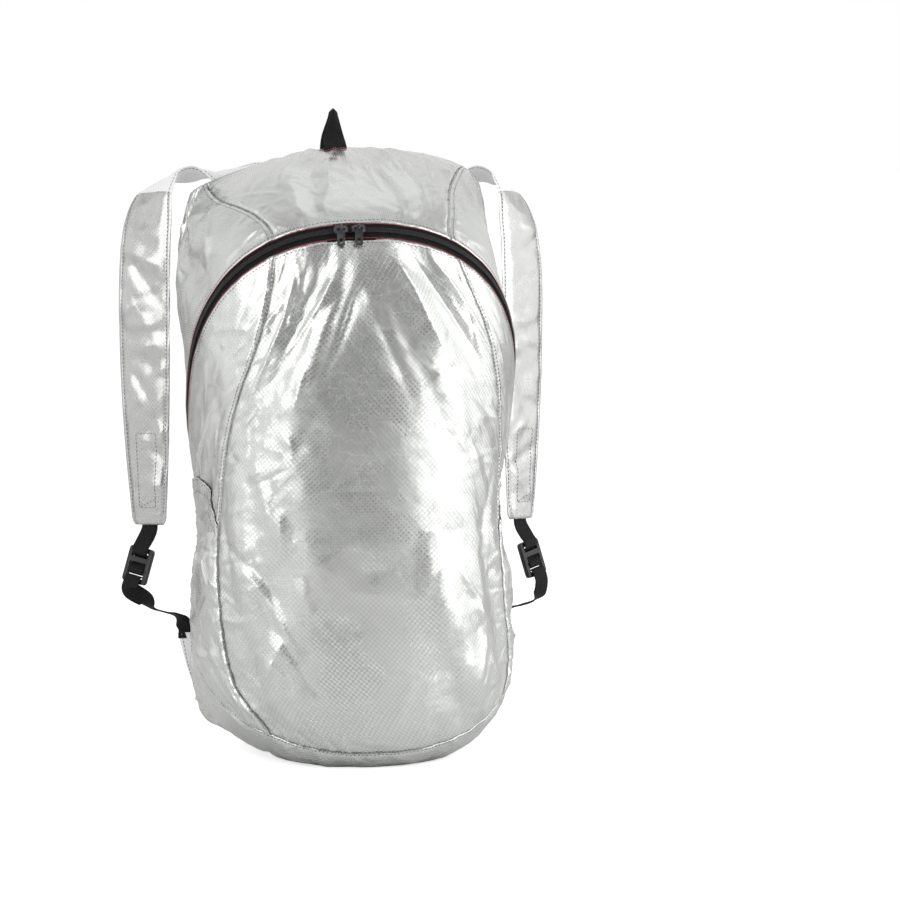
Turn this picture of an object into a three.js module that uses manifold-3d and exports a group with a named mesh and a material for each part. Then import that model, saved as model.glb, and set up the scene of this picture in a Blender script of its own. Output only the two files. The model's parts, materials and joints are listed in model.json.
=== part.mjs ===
// A light packable daypack, standing upright and stuffed full. Millimetres, +Z up, the zip side faces -Y.
// The origin is the middle of the flat patch on the underside that the pack stands on.
import * as THREE from 'three';
import { mergeVertices } from 'three/addons/utils/BufferGeometryUtils.js';
import Module from 'manifold-3d';

const solids = await Module();
solids.setup();

// Driving sizes of the bag.
const bagHeight = 478;
const bagWidth = 260;
const bagDepth = 165;
const backPlane = 62;
const clothThickness = 1.2;
const seamGap = 0.3;
const foldHeight = 7;
const backBulge = 7;

// Driving sizes of the closure.
const tapeWidth = 12.6;
const tapeThickness = 1;
const coilWidth = 4.2;
const coilHeight = 1.2;
const sliderLength = 10.4;
const sliderWidth = 7;
const sliderHeight = 2.4;
const sliderSpacing = 14.4;
const sliderOffCentre = -6;
const bailBar = 1.3;
const bailRise = 3.1;
const eyeRim = 1;
const eyeThickness = 1.8;
const eyeEndGap = 1.1;
const pullLength = 12.5;
const pullWidth = 6;
const pullThickness = 1.3;
const runningGap = 0.35;

// Driving sizes of the pockets, straps and loop.
const pocketMouth = 7;
const pocketHem = { atSeam: 0.54, atBack: 0.71 };
const strapWidth = 49;
const strapThickness = 5;
const webbingWidth = 15;
const webbingThickness = 1.5;
const lockWidth = 22;
const lockHeight = 29;
const lockThickness = 4;
const lockSlotHeight = 4.4;
const lockSlots = 3;
const tabReach = 12;
const tabTipReach = 1.5;
const tabThickness = 1.6;
const tabTop = 0.185;
const tabTip = 0.1;
const loopWidth = 21;
const loopRise = 27;
const loopSpread = 9;
const loopTuck = 12;
const loopThickness = 1.6;
const loopCentre = -4;
const bottomSeam = 0.3;
const zipLine = 0.8;
const loopSeatLine = 0.97;

// How finely the cloth and the straps are divided.
const sideColumns = 7;
const frontColumns = 16;
const bottomRows = 7;
const bodyRows = 18;
const topRows = 8;
const backColumns = 12;
const backRows = 15;
const pocketRows = 9;
const strapSteps = 34;
const webbingSteps = { upper: 18, lower: 30 };
const loopSteps = 26;
const tabRows = 8;

// Directions are measured a little inside the rim, and near the middle of a line, over a short step.
const insideRim = { across: 0.985, at: 0.012 };
const nearMiddle = 0.02;
const shortStep = 0.004;

// How far from the rim and from the zip the folds fade out, in the same shares as the folds below.
const foldFade = { rim: 0.08, zip: 0.035 };

// Each row is one seam-like line that runs from the left edge of the back panel round the front to its
// right edge. at: its place from the bottom-back seam (0) to the top-back seam (1). depth: how far its
// middle stands in front of the back, as a share of bagDepth. rise and edge: heights of its middle and
// of its ends, as shares of bagHeight. half: its half width and lean its shift to the right, as shares
// of bagWidth / 2. wrap: how many degrees it turns to each side. round and roundLeft, for the right and
// the left side: 1 is an ellipse, less is boxier, more slopes off sooner.
const sections = [
  { at: 0, depth: 0, rise: 0.012, edge: 0.045,
    half: 0.82, lean: 0, wrap: 90, round: 0.8, roundLeft: 0.8 },
  { at: 0.06, depth: 0.12, rise: -0.008, edge: 0.09,
    half: 0.885, lean: 0.01, wrap: 95, round: 0.9, roundLeft: 0.93 },
  { at: 0.14, depth: 0.4, rise: -0.014, edge: 0.13,
    half: 0.93, lean: 0.03, wrap: 99, round: 0.93, roundLeft: 0.98 },
  { at: 0.22, depth: 0.74, rise: -0.01, edge: 0.17,
    half: 0.955, lean: 0.045, wrap: 102, round: 0.92, roundLeft: 0.98 },
  { at: 0.3, depth: 0.94, rise: 0.026, edge: 0.215,
    half: 0.965, lean: 0.045, wrap: 104, round: 0.88, roundLeft: 0.94 },
  { at: 0.36, depth: 0.99, rise: 0.1, edge: 0.24,
    half: 0.96, lean: 0.045, wrap: 104, round: 0.84, roundLeft: 0.86 },
  { at: 0.46, depth: 1, rise: 0.27, edge: 0.3,
    half: 0.93, lean: 0.035, wrap: 104, round: 0.8, roundLeft: 0.82 },
  { at: 0.56, depth: 0.985, rise: 0.45, edge: 0.35,
    half: 0.905, lean: 0.03, wrap: 104, round: 0.82, roundLeft: 0.84 },
  { at: 0.66, depth: 0.94, rise: 0.62, edge: 0.4,
    half: 0.925, lean: 0.04, wrap: 107, round: 0.86, roundLeft: 0.86 },
  { at: 0.74, depth: 0.875, rise: 0.755, edge: 0.44,
    half: 0.97, lean: 0.05, wrap: 109, round: 0.88, roundLeft: 0.85 },
  { at: 0.8, depth: 0.79, rise: 0.86, edge: 0.5,
    half: 0.985, lean: 0.05, wrap: 109, round: 0.88, roundLeft: 0.83 },
  { at: 0.86, depth: 0.64, rise: 0.918, edge: 0.61,
    half: 0.98, lean: 0.035, wrap: 105, round: 0.88, roundLeft: 0.9 },
  { at: 0.92, depth: 0.4, rise: 0.964, edge: 0.75,
    half: 0.965, lean: -0.015, wrap: 98, round: 0.88, roundLeft: 1.05 },
  { at: 0.97, depth: 0.15, rise: 0.99, edge: 0.865,
    half: 0.93, lean: -0.01, wrap: 93, round: 0.86, roundLeft: 1.3 },
  { at: 1, depth: 0, rise: 0.99, edge: 0.915,
    half: 0.89, lean: 0, wrap: 90, round: 0.85, roundLeft: 1.55 },
];

// The long seams beside the front panel and, above the zip, beside the top panel.
// left and right: their distance from the middle, as shares of the section's own half width.
const seams = [
  { at: 0, left: 0.6, right: 0.8 },
  { at: 0.3, left: 0.6, right: 0.9 },
  { at: 0.36, left: 0.82, right: 0.94 },
  { at: 0.46, left: 0.915, right: 0.94 },
  { at: 0.56, left: 0.92, right: 0.95 },
  { at: 0.66, left: 0.84, right: 0.925 },
  { at: 0.74, left: 0.62, right: 0.785 },
  { at: 0.8, left: 0.54, right: 0.53 },
  { at: 0.86, left: 0.6, right: 0.56 },
  { at: 0.93, left: 0.74, right: 0.7 },
  { at: 1, left: 0.89, right: 0.87 },
];

// The main folds. A fold runs straight from (across, at) to (acrossEnd, atEnd), where across goes from
// -1 at the left edge of the back to +1 at its right edge, and -0.5 and +0.5 are the long seams.
// height: a share of foldHeight, negative for a dent. wide: its half width in those same shares.
const folds = [
  { across: -0.08, at: 0.79, acrossEnd: -0.22, atEnd: 0.64, height: 0.55, wide: 0.06 },
  { across: -0.2, at: 0.79, acrossEnd: -0.34, atEnd: 0.66, height: -0.5, wide: 0.06 },
  { across: 0.06, at: 0.79, acrossEnd: 0.24, atEnd: 0.66, height: 0.6, wide: 0.06 },
  { across: 0.2, at: 0.79, acrossEnd: 0.38, atEnd: 0.68, height: -0.5, wide: 0.06 },
  { across: 0.14, at: 0.48, acrossEnd: 0.3, atEnd: 0.36, height: 0.75, wide: 0.06 },
  { across: -0.42, at: 0.58, acrossEnd: -0.3, atEnd: 0.4, height: 0.5, wide: 0.07 },
  { across: -0.62, at: 0.62, acrossEnd: -0.86, atEnd: 0.5, height: -0.8, wide: 0.08 },
  { across: -0.56, at: 0.48, acrossEnd: -0.92, atEnd: 0.44, height: 0.6, wide: 0.06 },
  { across: 0.62, at: 0.6, acrossEnd: 0.88, atEnd: 0.52, height: -0.8, wide: 0.08 },
  { across: 0.58, at: 0.46, acrossEnd: 0.9, atEnd: 0.42, height: 0.6, wide: 0.06 },
  { across: -0.7, at: 0.83, acrossEnd: -0.84, atEnd: 0.96, height: -0.55, wide: 0.07 },
  { across: 0.7, at: 0.83, acrossEnd: 0.86, atEnd: 0.96, height: -0.55, wide: 0.07 },
  { across: -0.04, at: 0.98, acrossEnd: -0.24, atEnd: 0.85, height: -0.5, wide: 0.05 },
  { across: 0.06, at: 0.98, acrossEnd: 0.26, atEnd: 0.85, height: -0.5, wide: 0.05 },
  { across: -0.45, at: 0.32, acrossEnd: -0.2, atEnd: 0.5, height: -0.45, wide: 0.06 },
  { across: 0.45, at: 0.34, acrossEnd: 0.34, atEnd: 0.56, height: -0.45, wide: 0.06 },
];

// The left shoulder strap, from its seam on the back over the top and down beside the bag; the right
// one mirrors it. out: from the middle, as a share of bagWidth / 2. back: behind the back plane, as a
// share of strapWidth. up: as a share of bagHeight. wide: its width as a share of strapWidth. faceX,
// faceY and faceZ: the way that its outer face looks.
const strapStations = [
  { out: 0.36, back: 0.03, up: 0.895, wide: 0.7, faceX: 0, faceY: -1, faceZ: 0.05 },
  { out: 0.5, back: 0.15, up: 0.932, wide: 0.78, faceX: -0.05, faceY: -0.9, faceZ: 0.4 },
  { out: 0.68, back: 0.45, up: 0.942, wide: 0.84, faceX: 0, faceY: -0.25, faceZ: 1 },
  { out: 0.86, back: 0.55, up: 0.945, wide: 0.9, faceX: -0.05, faceY: 0.3, faceZ: 0.95 },
  { out: 1.0, back: 0.51, up: 0.938, wide: 0.96, faceX: -0.35, faceY: 0.12, faceZ: 0.9 },
  { out: 1.1, back: 0.36, up: 0.912, wide: 1, faceX: -0.66, faceY: -0.35, faceZ: 0.6 },
  { out: 1.145, back: 0.23, up: 0.86, wide: 1, faceX: -0.68, faceY: -0.7, faceZ: 0.15 },
  { out: 1.165, back: 0.17, up: 0.79, wide: 1, faceX: -0.64, faceY: -0.77, faceZ: 0 },
  { out: 1.168, back: 0.13, up: 0.63, wide: 0.98, faceX: -0.64, faceY: -0.77, faceZ: 0 },
  { out: 1.16, back: 0.08, up: 0.49, wide: 0.86, faceX: -0.64, faceY: -0.77, faceZ: 0 },
  { out: 1.15, back: 0.04, up: 0.365, wide: 0.66, faceX: -0.64, faceY: -0.77, faceZ: 0 },
];

// The left ladder lock's middle, in the same shares, and the webbing that runs from it down to the sewn
// tab. beyond: out from the back's own edge at that height, as a share of tabReach.
const lockPlace = { out: 1.22, back: 0, up: 0.298 };
const lockFace = { faceX: -0.64, faceY: -0.77, faceZ: 0.05 };
const tailStations = [
  { beyond: 3.1, back: 0.03, up: 0.24, faceX: -0.64, faceY: -0.77, faceZ: 0 },
  { beyond: 2.7, back: 0.05, up: 0.227, faceX: -0.5, faceY: -0.6, faceZ: -0.5 },
  { beyond: 1.8, back: 0.06, up: 0.219, faceX: -0.2, faceY: -0.6, faceZ: -0.8 },
  { beyond: 1, back: 0.06, up: 0.213, faceX: -0.2, faceY: -0.8, faceZ: -0.6 },
];
const cloth = { silver: 0xbfc2bb, shade: 0xa9aaa8, black: 0x17171a, metal: 0x2b2b2e };

// A smooth curve through one column of a table, at a place along it.
function follow(rows, column, at) {
  const last = rows.length - 1;
  const place = Math.min(Math.max(at, rows[0].at), rows[last].at);
  let i = 0;
  while (i < last - 1 && place > rows[i + 1].at) i += 1;
  const slope = (j) => {
    const a = rows[Math.max(j - 1, 0)];
    const b = rows[Math.min(j + 1, last)];
    return (b[column] - a[column]) / (b.at - a.at);
  };
  const length = rows[i + 1].at - rows[i].at;
  const u = (place - rows[i].at) / length;
  const from = rows[i][column];
  const to = rows[i + 1][column];
  const bend = (2 * u ** 3 - 3 * u ** 2 + 1) * from + (3 * u ** 2 - 2 * u ** 3) * to;
  return bend + (u ** 3 - 2 * u ** 2 + u) * length * slope(i) + (u ** 3 - u ** 2) * length * slope(i + 1);
}

function signedPower(value, power) {
  return Math.sign(value) * Math.abs(value) ** power;
}

function roundAt(across, at) {
  return follow(sections, across < 0 ? 'roundLeft' : 'round', at);
}

// The turn round the bag at which a seam column lies, from -1 to +1, where across is -0.5 or +0.5 on a seam.
function turnAt(across, at) {
  const wrap = THREE.MathUtils.degToRad(follow(sections, 'wrap', at));
  const share = follow(seams, across < 0 ? 'left' : 'right', at);
  const seamTurn = Math.asin(share ** (1 / roundAt(across, at))) / wrap;
  const size = Math.abs(across);
  const turn = size < 0.5 ? size * 2 * seamTurn : seamTurn + (size - 0.5) * 2 * (1 - seamTurn);
  return Math.sign(across) * turn;
}

// A point of the bag's smooth form, before its folds.
function smoothPoint(across, at) {
  const wrap = THREE.MathUtils.degToRad(follow(sections, 'wrap', at));
  const power = roundAt(across, at);
  const angle = turnAt(across, at) * wrap;
  const end = signedPower(Math.cos(wrap), power);
  const share = (signedPower(Math.cos(angle), power) - end) / (1 - end);
  const half = follow(sections, 'half', at) * signedPower(Math.sin(angle), power);
  const edge = follow(sections, 'edge', at);
  return new THREE.Vector3(
    (bagWidth / 2) * (half + follow(sections, 'lean', at)),
    backPlane - bagDepth * follow(sections, 'depth', at) * share,
    bagHeight * (edge + (follow(sections, 'rise', at) - edge) * share),
  );
}

// The directions in which the form runs across and along, taken a little inside its rim.
function tangents(across, at) {
  const step = shortStep;
  const a = Math.min(Math.max(across, -insideRim.across), insideRim.across);
  const b = Math.min(Math.max(at, insideRim.at), 1 - insideRim.at);
  const right = smoothPoint(a + step, b).sub(smoothPoint(a - step, b)).divideScalar(2 * step);
  const up = smoothPoint(a, b + step).sub(smoothPoint(a, b - step)).divideScalar(2 * step);
  return { right, up };
}

// The outward direction; on the rim it stays in the plane of the back, so that the walls end flat there.
function outward(across, at) {
  const { right, up } = tangents(across, at);
  const normal = right.cross(up).normalize();
  const fromRim = Math.min(1 - Math.abs(across), at, 1 - at);
  if (fromRim < 0.0001) normal.y = 0;
  return normal.normalize();
}

// How high the folds stand at a place, fading out at their ends, at the rim and at the stiff zip.
function foldAt(across, at) {
  const inside = Math.min(1 - Math.abs(across), at / 0.6, (1 - at) * 2);
  const fromRim = Math.min(inside / foldFade.rim, 1);
  const fromZip = Math.min(Math.abs(at - zipLine) / foldFade.zip, 1);
  let height = 0;
  for (const fold of folds) {
    const run = new THREE.Vector2(fold.acrossEnd - fold.across, fold.atEnd - fold.at);
    const here = new THREE.Vector2(across - fold.across, at - fold.at);
    const along = Math.min(Math.max(here.dot(run) / run.lengthSq(), 0), 1);
    const away = here.sub(run.multiplyScalar(along)).length() / fold.wide;
    if (away < 1) height += fold.height * (1 - away ** 2) ** 2 * Math.sin(Math.PI * (0.15 + 0.7 * along));
  }
  return foldHeight * height * fromRim * fromZip;
}

// A point of the folded cloth, offset outwards; the underside is flattened by the surface it stands on.
function shellPoint(across, at, offset) {
  const point = smoothPoint(across, at).addScaledVector(outward(across, at), foldAt(across, at) + offset);
  point.z = Math.max(point.z, -offset);
  return point;
}

// What a length in millimetres is as a step across or along at a place.
function stepAcross(across, at, length) {
  return length / tangents(across, at).right.length();
}

function stepAlong(across, at, length) {
  const { right, up } = tangents(across, at);
  const right1 = right.clone().normalize();
  return length / up.addScaledVector(right1, -up.dot(right1)).length();
}

function mix(a, b, share) {
  return a + (b - a) * share;
}

function evenly(count, from, to) {
  return Array.from({ length: count + 1 }, (_, i) => mix(from, to, i / count));
}

// A closed geometry from its corners and triangles, turned so that its faces look out.
function closedGeometry(points, triangles) {
  const volume = triangles.reduce((sum, [a, b, c]) => {
    return sum + points[a].dot(points[b].clone().cross(points[c]));
  }, 0);
  const turned = volume < 0 ? triangles.map(([a, b, c]) => [a, c, b]) : triangles;
  const geometry = new THREE.BufferGeometry();
  const numbers = points.flatMap((point) => [point.x, point.y, point.z]);
  geometry.setAttribute('position', new THREE.Float32BufferAttribute(numbers, 3));
  geometry.setIndex(turned.flat());
  geometry.computeVertexNormals();
  return geometry;
}

// A wall between two grids of points with the same number of rows and columns, closed round its edge.
function wall(outer, inner) {
  const rows = outer.length;
  const columns = outer[0].length;
  const points = [...outer.flat(), ...inner.flat()];
  const top = (i, j) => i * columns + j;
  const under = (i, j) => rows * columns + i * columns + j;
  const triangles = [];
  const quad = (a, b, c, d) => triangles.push([a, b, c], [a, c, d]);
  for (let i = 0; i < rows - 1; i += 1) {
    for (let j = 0; j < columns - 1; j += 1) {
      quad(top(i, j), top(i, j + 1), top(i + 1, j + 1), top(i + 1, j));
      quad(under(i, j), under(i + 1, j), under(i + 1, j + 1), under(i, j + 1));
    }
    quad(top(i, 0), top(i + 1, 0), under(i + 1, 0), under(i, 0));
    quad(top(i, columns - 1), under(i, columns - 1), under(i + 1, columns - 1), top(i + 1, columns - 1));
  }
  for (let j = 0; j < columns - 1; j += 1) {
    quad(top(0, j), under(0, j), under(0, j + 1), top(0, j + 1));
    quad(top(rows - 1, j), top(rows - 1, j + 1), under(rows - 1, j + 1), under(rows - 1, j));
  }
  return closedGeometry(points, triangles);
}

// A solid whose cross-section is a closed ring of points, one ring for each station.
function ringSolid(rings) {
  const count = rings[0].length;
  const points = rings.flat();
  const triangles = [];
  for (let i = 0; i < rings.length - 1; i += 1) {
    for (let j = 0; j < count; j += 1) {
      const k = (j + 1) % count;
      const a = i * count;
      triangles.push([a + j, a + k, a + count + k], [a + j, a + count + k, a + count + j]);
    }
  }
  const last = (rings.length - 1) * count;
  for (let j = 1; j < count - 1; j += 1) {
    triangles.push([0, j + 1, j], [last, last + j, last + j + 1]);
  }
  return closedGeometry(points, triangles);
}

// A piece of the shell between two columns and two lines, each line a function of the column.
// It stays half a seam gap inside its borders, apart from those on the rim of the back.
function shellPiece(columns, lowLine, highLine, rowCount, outerOffset, innerOffset) {
  const grid = (offset) => evenly(rowCount, 0, 1).map((v) => columns.map((column) => {
    const low = lowLine(column);
    const high = highLine(column);
    const at = mix(low, high, v);
    let across = column;
    const share = (column - columns[0]) / (columns[columns.length - 1] - columns[0]);
    if (column === columns[0] && column > -1) across += stepAcross(column, at, seamGap / 2);
    if (column === columns[columns.length - 1] && column < 1) across -= stepAcross(column, at, seamGap / 2);
    return shellPoint(across, at, offset(share, v));
  }));
  return wall(grid(outerOffset), grid(innerOffset));
}

const atCloth = () => 0;
const underCloth = () => -clothThickness;

// A line of the shell moved by a length along it.
function shifted(line, length) {
  return (across) => line + stepAlong(across, line, length);
}

const leftSide = evenly(sideColumns, -1, -0.5);
const frontSpan = evenly(frontColumns, -0.5, 0.5);
const rightSide = evenly(sideColumns, 0.5, 1);
const wholeSpan = [...leftSide, ...frontSpan.slice(1), ...rightSide.slice(1)];

const floorLine = () => 0;
const crownLine = () => 1;
const bottomTop = shifted(bottomSeam, -seamGap / 2);
const bodyBottom = shifted(bottomSeam, seamGap / 2);
const bodyTop = shifted(zipLine, -tapeWidth / 2 - seamGap / 2);
const roofBottom = shifted(zipLine, tapeWidth / 2 + seamGap / 2);

function bodyPanel(columns) {
  return shellPiece(columns, bodyBottom, bodyTop, bodyRows, atCloth, underCloth);
}

function roofPanel(columns) {
  return shellPiece(columns, roofBottom, crownLine, topRows, atCloth, underCloth);
}

function zipTape(sign) {
  const inner = shifted(zipLine, (sign * seamGap) / 2);
  const outer = shifted(zipLine, sign * (tapeWidth / 2 - seamGap / 2));
  const lines = sign < 0 ? [outer, inner] : [inner, outer];
  return shellPiece(wholeSpan, lines[0], lines[1], 1, atCloth, () => -tapeThickness);
}

function zipCoil() {
  const low = shifted(zipLine, -coilWidth / 2);
  const high = shifted(zipLine, coilWidth / 2);
  const crown = (share, v) => seamGap + coilHeight * (0.55 + 0.45 * Math.sin(Math.PI * v));
  return shellPiece(wholeSpan, low, high, 2, crown, () => seamGap);
}

// The pocket's hem slants up from the long seam to the back edge. The cloth stands off most in the
// middle of the mouth, and lies on the side panel round its three sewn edges.
function sidePocket(columns) {
  const hem = (across) => mix(pocketHem.atSeam, pocketHem.atBack, (Math.abs(across) - 0.5) * 2);
  const standOff = (share, v) => seamGap + pocketMouth * Math.sin(Math.PI * share) ** 1.3 * v ** 1.4;
  const low = shifted(bottomSeam, seamGap);
  return shellPiece(columns, low, hem, pocketRows, (a, b) => standOff(a, b) + clothThickness, standOff);
}

// A point of the back panel's front face, stretched between the four rims of the shell.
function backPoint(share, at) {
  const across = mix(-1, 1, share);
  const bottom = smoothPoint(across, 0).multiplyScalar(1 - at);
  const top = smoothPoint(across, 1).multiplyScalar(at);
  const left = smoothPoint(-1, at).multiplyScalar(1 - share);
  const right = smoothPoint(1, at).multiplyScalar(share);
  const corners = smoothPoint(-1, 0).multiplyScalar((1 - share) * (1 - at));
  corners.addScaledVector(smoothPoint(1, 0), share * (1 - at));
  corners.addScaledVector(smoothPoint(-1, 1), (1 - share) * at);
  corners.addScaledVector(smoothPoint(1, 1), share * at);
  const point = bottom.add(top).add(left).add(right).sub(corners);
  const swell = Math.sin(Math.PI * share) * Math.sin(Math.PI * at);
  point.y = backPlane + seamGap + backBulge * swell;
  return point;
}

function backPanel() {
  const rows = evenly(backRows, 0, 1);
  const grid = (depth) => rows.map((at) => evenly(backColumns, 0, 1).map((share) => {
    const point = backPoint(share, at);
    point.y += depth;
    return point;
  }));
  return wall(grid(clothThickness), grid(0));
}

// A place given in shares, on the left (side -1) or the right (side +1) of the bag.
function placeOf(station, side) {
  return new THREE.Vector3(
    (side * station.out * bagWidth) / 2,
    backPlane + 2 * seamGap + clothThickness + strapThickness / 2 + station.back * strapWidth,
    station.up * bagHeight,
  );
}

function faceOf(station, side) {
  return new THREE.Vector3(-side * station.faceX, station.faceY, station.faceZ).normalize();
}

function strapPath(side) {
  return new THREE.CatmullRomCurve3(strapStations.map((s) => placeOf(s, side)), false, 'centripetal');
}

// How thick a ribbon's edges are beside its middle: sewn padding is soft there, webbing is flat.
const softEdge = 0.45;
const flatEdge = 0.9;

// A ribbon along smooth stations. Each station has a place, a face direction and a width. edgeShare says
// how thick the ribbon's edges are beside its middle.
function ribbon(stations, thickness, steps, edgeShare) {
  const path = new THREE.CatmullRomCurve3(stations.map((s) => s.place), false, 'centripetal');
  const faces = new THREE.CatmullRomCurve3(stations.map((s) => s.face), false, 'centripetal');
  const widths = stations.map((s, i) => ({ at: i / (stations.length - 1), wide: s.wide }));
  const rings = evenly(steps, 0, 1).map((u) => {
    const place = path.getPoint(u);
    const run = path.getTangent(u);
    const face = faces.getPoint(u);
    face.addScaledVector(run, -face.dot(run)).normalize();
    const side = face.clone().cross(run).normalize();
    const half = follow(widths, 'wide', u) / 2;
    const section = [
      [-half, -edgeShare], [-half * 0.8, -1], [half * 0.8, -1], [half, -edgeShare],
      [half, edgeShare], [half * 0.8, 1], [-half * 0.8, 1], [-half, edgeShare],
    ];
    return section.map(([a, b]) => {
      return place.clone().addScaledVector(side, a).addScaledVector(face, (b * thickness) / 2);
    });
  });
  return ringSolid(rings);
}

function strapStation(station, side) {
  return { place: placeOf(station, side), face: faceOf(station, side), wide: station.wide * strapWidth };
}

function shoulderStrap(side) {
  return ribbon(strapStations.map((s) => strapStation(s, side)), strapThickness, strapSteps, softEdge);
}

// The ladder lock's own directions: up it, across it and out of its face.
function lockFrame(side) {
  const middle = placeOf(lockPlace, side);
  const strapEnd = placeOf(strapStations[strapStations.length - 1], side);
  const up = strapEnd.clone().sub(middle).normalize();
  const face = faceOf(lockFace, side);
  face.addScaledVector(up, -face.dot(up)).normalize();
  return { middle, up, face, across: up.clone().cross(face).normalize(), strapEnd };
}

function lockPoint(frame, up, out) {
  return frame.middle.clone().addScaledVector(frame.up, up).addScaledVector(frame.face, out);
}

function roundedOutline(path, width, height, radius, x, y) {
  const left = x - width / 2;
  const low = y - height / 2;
  path.moveTo(left + radius, low);
  path.lineTo(left + width - radius, low);
  path.quadraticCurveTo(left + width, low, left + width, low + radius);
  path.lineTo(left + width, low + height - radius);
  path.quadraticCurveTo(left + width, low + height, left + width - radius, low + height);
  path.lineTo(left + radius, low + height);
  path.quadraticCurveTo(left, low + height, left, low + height - radius);
  path.lineTo(left, low + radius);
  path.quadraticCurveTo(left, low, left + radius, low);
  return path;
}

const lockBar = (lockHeight - lockSlots * lockSlotHeight) / (lockSlots + 1);
const lockSlotWidth = webbingWidth + 2 * runningGap;

function lockSlotCentre(index) {
  return lockHeight / 2 - lockBar - lockSlotHeight / 2 - index * (lockSlotHeight + lockBar);
}

function ladderLock(side) {
  const outline = roundedOutline(new THREE.Shape(), lockWidth, lockHeight, 3, 0, 0);
  for (let i = 0; i < lockSlots; i += 1) {
    const slot = roundedOutline(new THREE.Path(), lockSlotWidth, lockSlotHeight, 0.8, 0, lockSlotCentre(i));
    outline.holes.push(slot);
  }
  const geometry = new THREE.ExtrudeGeometry(outline, {
    depth: lockThickness, bevelEnabled: false, curveSegments: 3,
  });
  geometry.translate(0, 0, -lockThickness / 2);
  const frame = lockFrame(side);
  const turn = new THREE.Matrix4().makeBasis(frame.across, frame.up, frame.face);
  geometry.applyMatrix4(turn.setPosition(frame.middle));
  return geometry;
}

// The webbing leaves the end of the strap, lies over the lock's top bar and tucks into its first slot.
function upperWebbing(side) {
  const frame = lockFrame(side);
  const lap = lockThickness / 2 + runningGap + webbingThickness / 2;
  const row = (place, face) => ({ place, face, wide: webbingWidth });
  const strapFace = faceOf(strapStations[strapStations.length - 1], side);
  const strapRun = strapPath(side).getTangent(1);
  const below = (length) => frame.strapEnd.clone().addScaledVector(strapRun, length);
  const barTop = lockHeight / 2;
  const barFoot = barTop - lockBar;
  const tucked = frame.face.clone().multiplyScalar(0.4).addScaledVector(frame.up, -0.9);
  return ribbon([
    row(below(seamGap), strapFace),
    row(below(seamGap + 3), strapFace),
    row(lockPoint(frame, barTop + 3.5, lap * 0.6), frame.face),
    row(lockPoint(frame, barTop + 0.6, lap + 0.2), frame.face),
    row(lockPoint(frame, (barTop + barFoot) / 2, lap + 0.4), frame.face),
    row(lockPoint(frame, barFoot - 0.9, lap), frame.face.clone().addScaledVector(frame.up, -0.5)),
    row(lockPoint(frame, lockSlotCentre(0) + 0.3, 0.9), tucked),
  ], webbingThickness, webbingSteps.upper, flatEdge);
}

// The lower webbing comes out of the lock's last slot, over its bottom bar, and runs down to the sewn tab.
function lowerWebbing(side) {
  const frame = lockFrame(side);
  const lap = lockThickness / 2 + runningGap + webbingThickness / 2;
  const row = (place, face) => ({ place, face, wide: webbingWidth });
  const barFoot = -lockHeight / 2;
  const barTop = barFoot + lockBar;
  const tucked = frame.face.clone().multiplyScalar(0.4).addScaledVector(frame.up, 0.9);
  const tail = tailStations.map((s) => row(besideEdge(s, side), faceOf(s, side)));
  const tab = tabFrame(side);
  const end = tab.topOuter.clone().add(tab.topInner).multiplyScalar(0.5);
  end.z += seamGap;
  end.y = backPlane + seamGap + tabThickness / 2;
  const above = end.clone().setZ(end.z + 4);
  const square = { face: new THREE.Vector3(0, -1, 0), wide: tabReach * 0.95 };
  return ribbon([
    row(lockPoint(frame, lockSlotCentre(lockSlots - 1) - 0.3, 0.9), tucked),
    row(lockPoint(frame, barTop + 0.9, lap), frame.face.clone().addScaledVector(frame.up, 0.5)),
    row(lockPoint(frame, (barTop + barFoot) / 2, lap + 0.5), frame.face),
    row(lockPoint(frame, barFoot - 0.6, lap + 0.9), frame.face),
    row(lockPoint(frame, barFoot - 5, lap + 0.4), frame.face),
    ...tail,
    { place: above, ...square },
    { place: end, ...square },
  ], webbingThickness, webbingSteps.lower, flatEdge);
}

// The place on the back's left or right edge at a height, a share of bagHeight.
function edgePlace(side, height) {
  let low = 0;
  let high = 1;
  for (let i = 0; i < 30; i += 1) {
    const middle = (low + high) / 2;
    if (follow(sections, 'edge', middle) < height) low = middle;
    else high = middle;
  }
  return smoothPoint(side, low);
}

function besideEdge(station, side) {
  const place = edgePlace(side, station.up);
  place.x += side * station.beyond * tabReach;
  place.y = backPlane + station.back * strapWidth;
  return place;
}

function tabFrame(side) {
  const rows = evenly(tabRows, 0, 1).map((share) => {
    const inner = edgePlace(side, mix(tabTop, tabTip, share));
    inner.x += side * seamGap * 2;
    const outer = inner.clone();
    outer.x += side * mix(tabReach, tabTipReach, share);
    return [inner, outer];
  });
  return { rows, topInner: rows[0][0], topOuter: rows[0][1] };
}

// A folded triangle of cloth sewn into the lower corner of the back, wide at the top.
function strapTab(side) {
  const grid = (depth) => tabFrame(side).rows.map((row) => row.map((point) => {
    return new THREE.Vector3(point.x, backPlane + depth, point.z);
  }));
  return wall(grid(seamGap + tabThickness), grid(seamGap));
}

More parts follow.
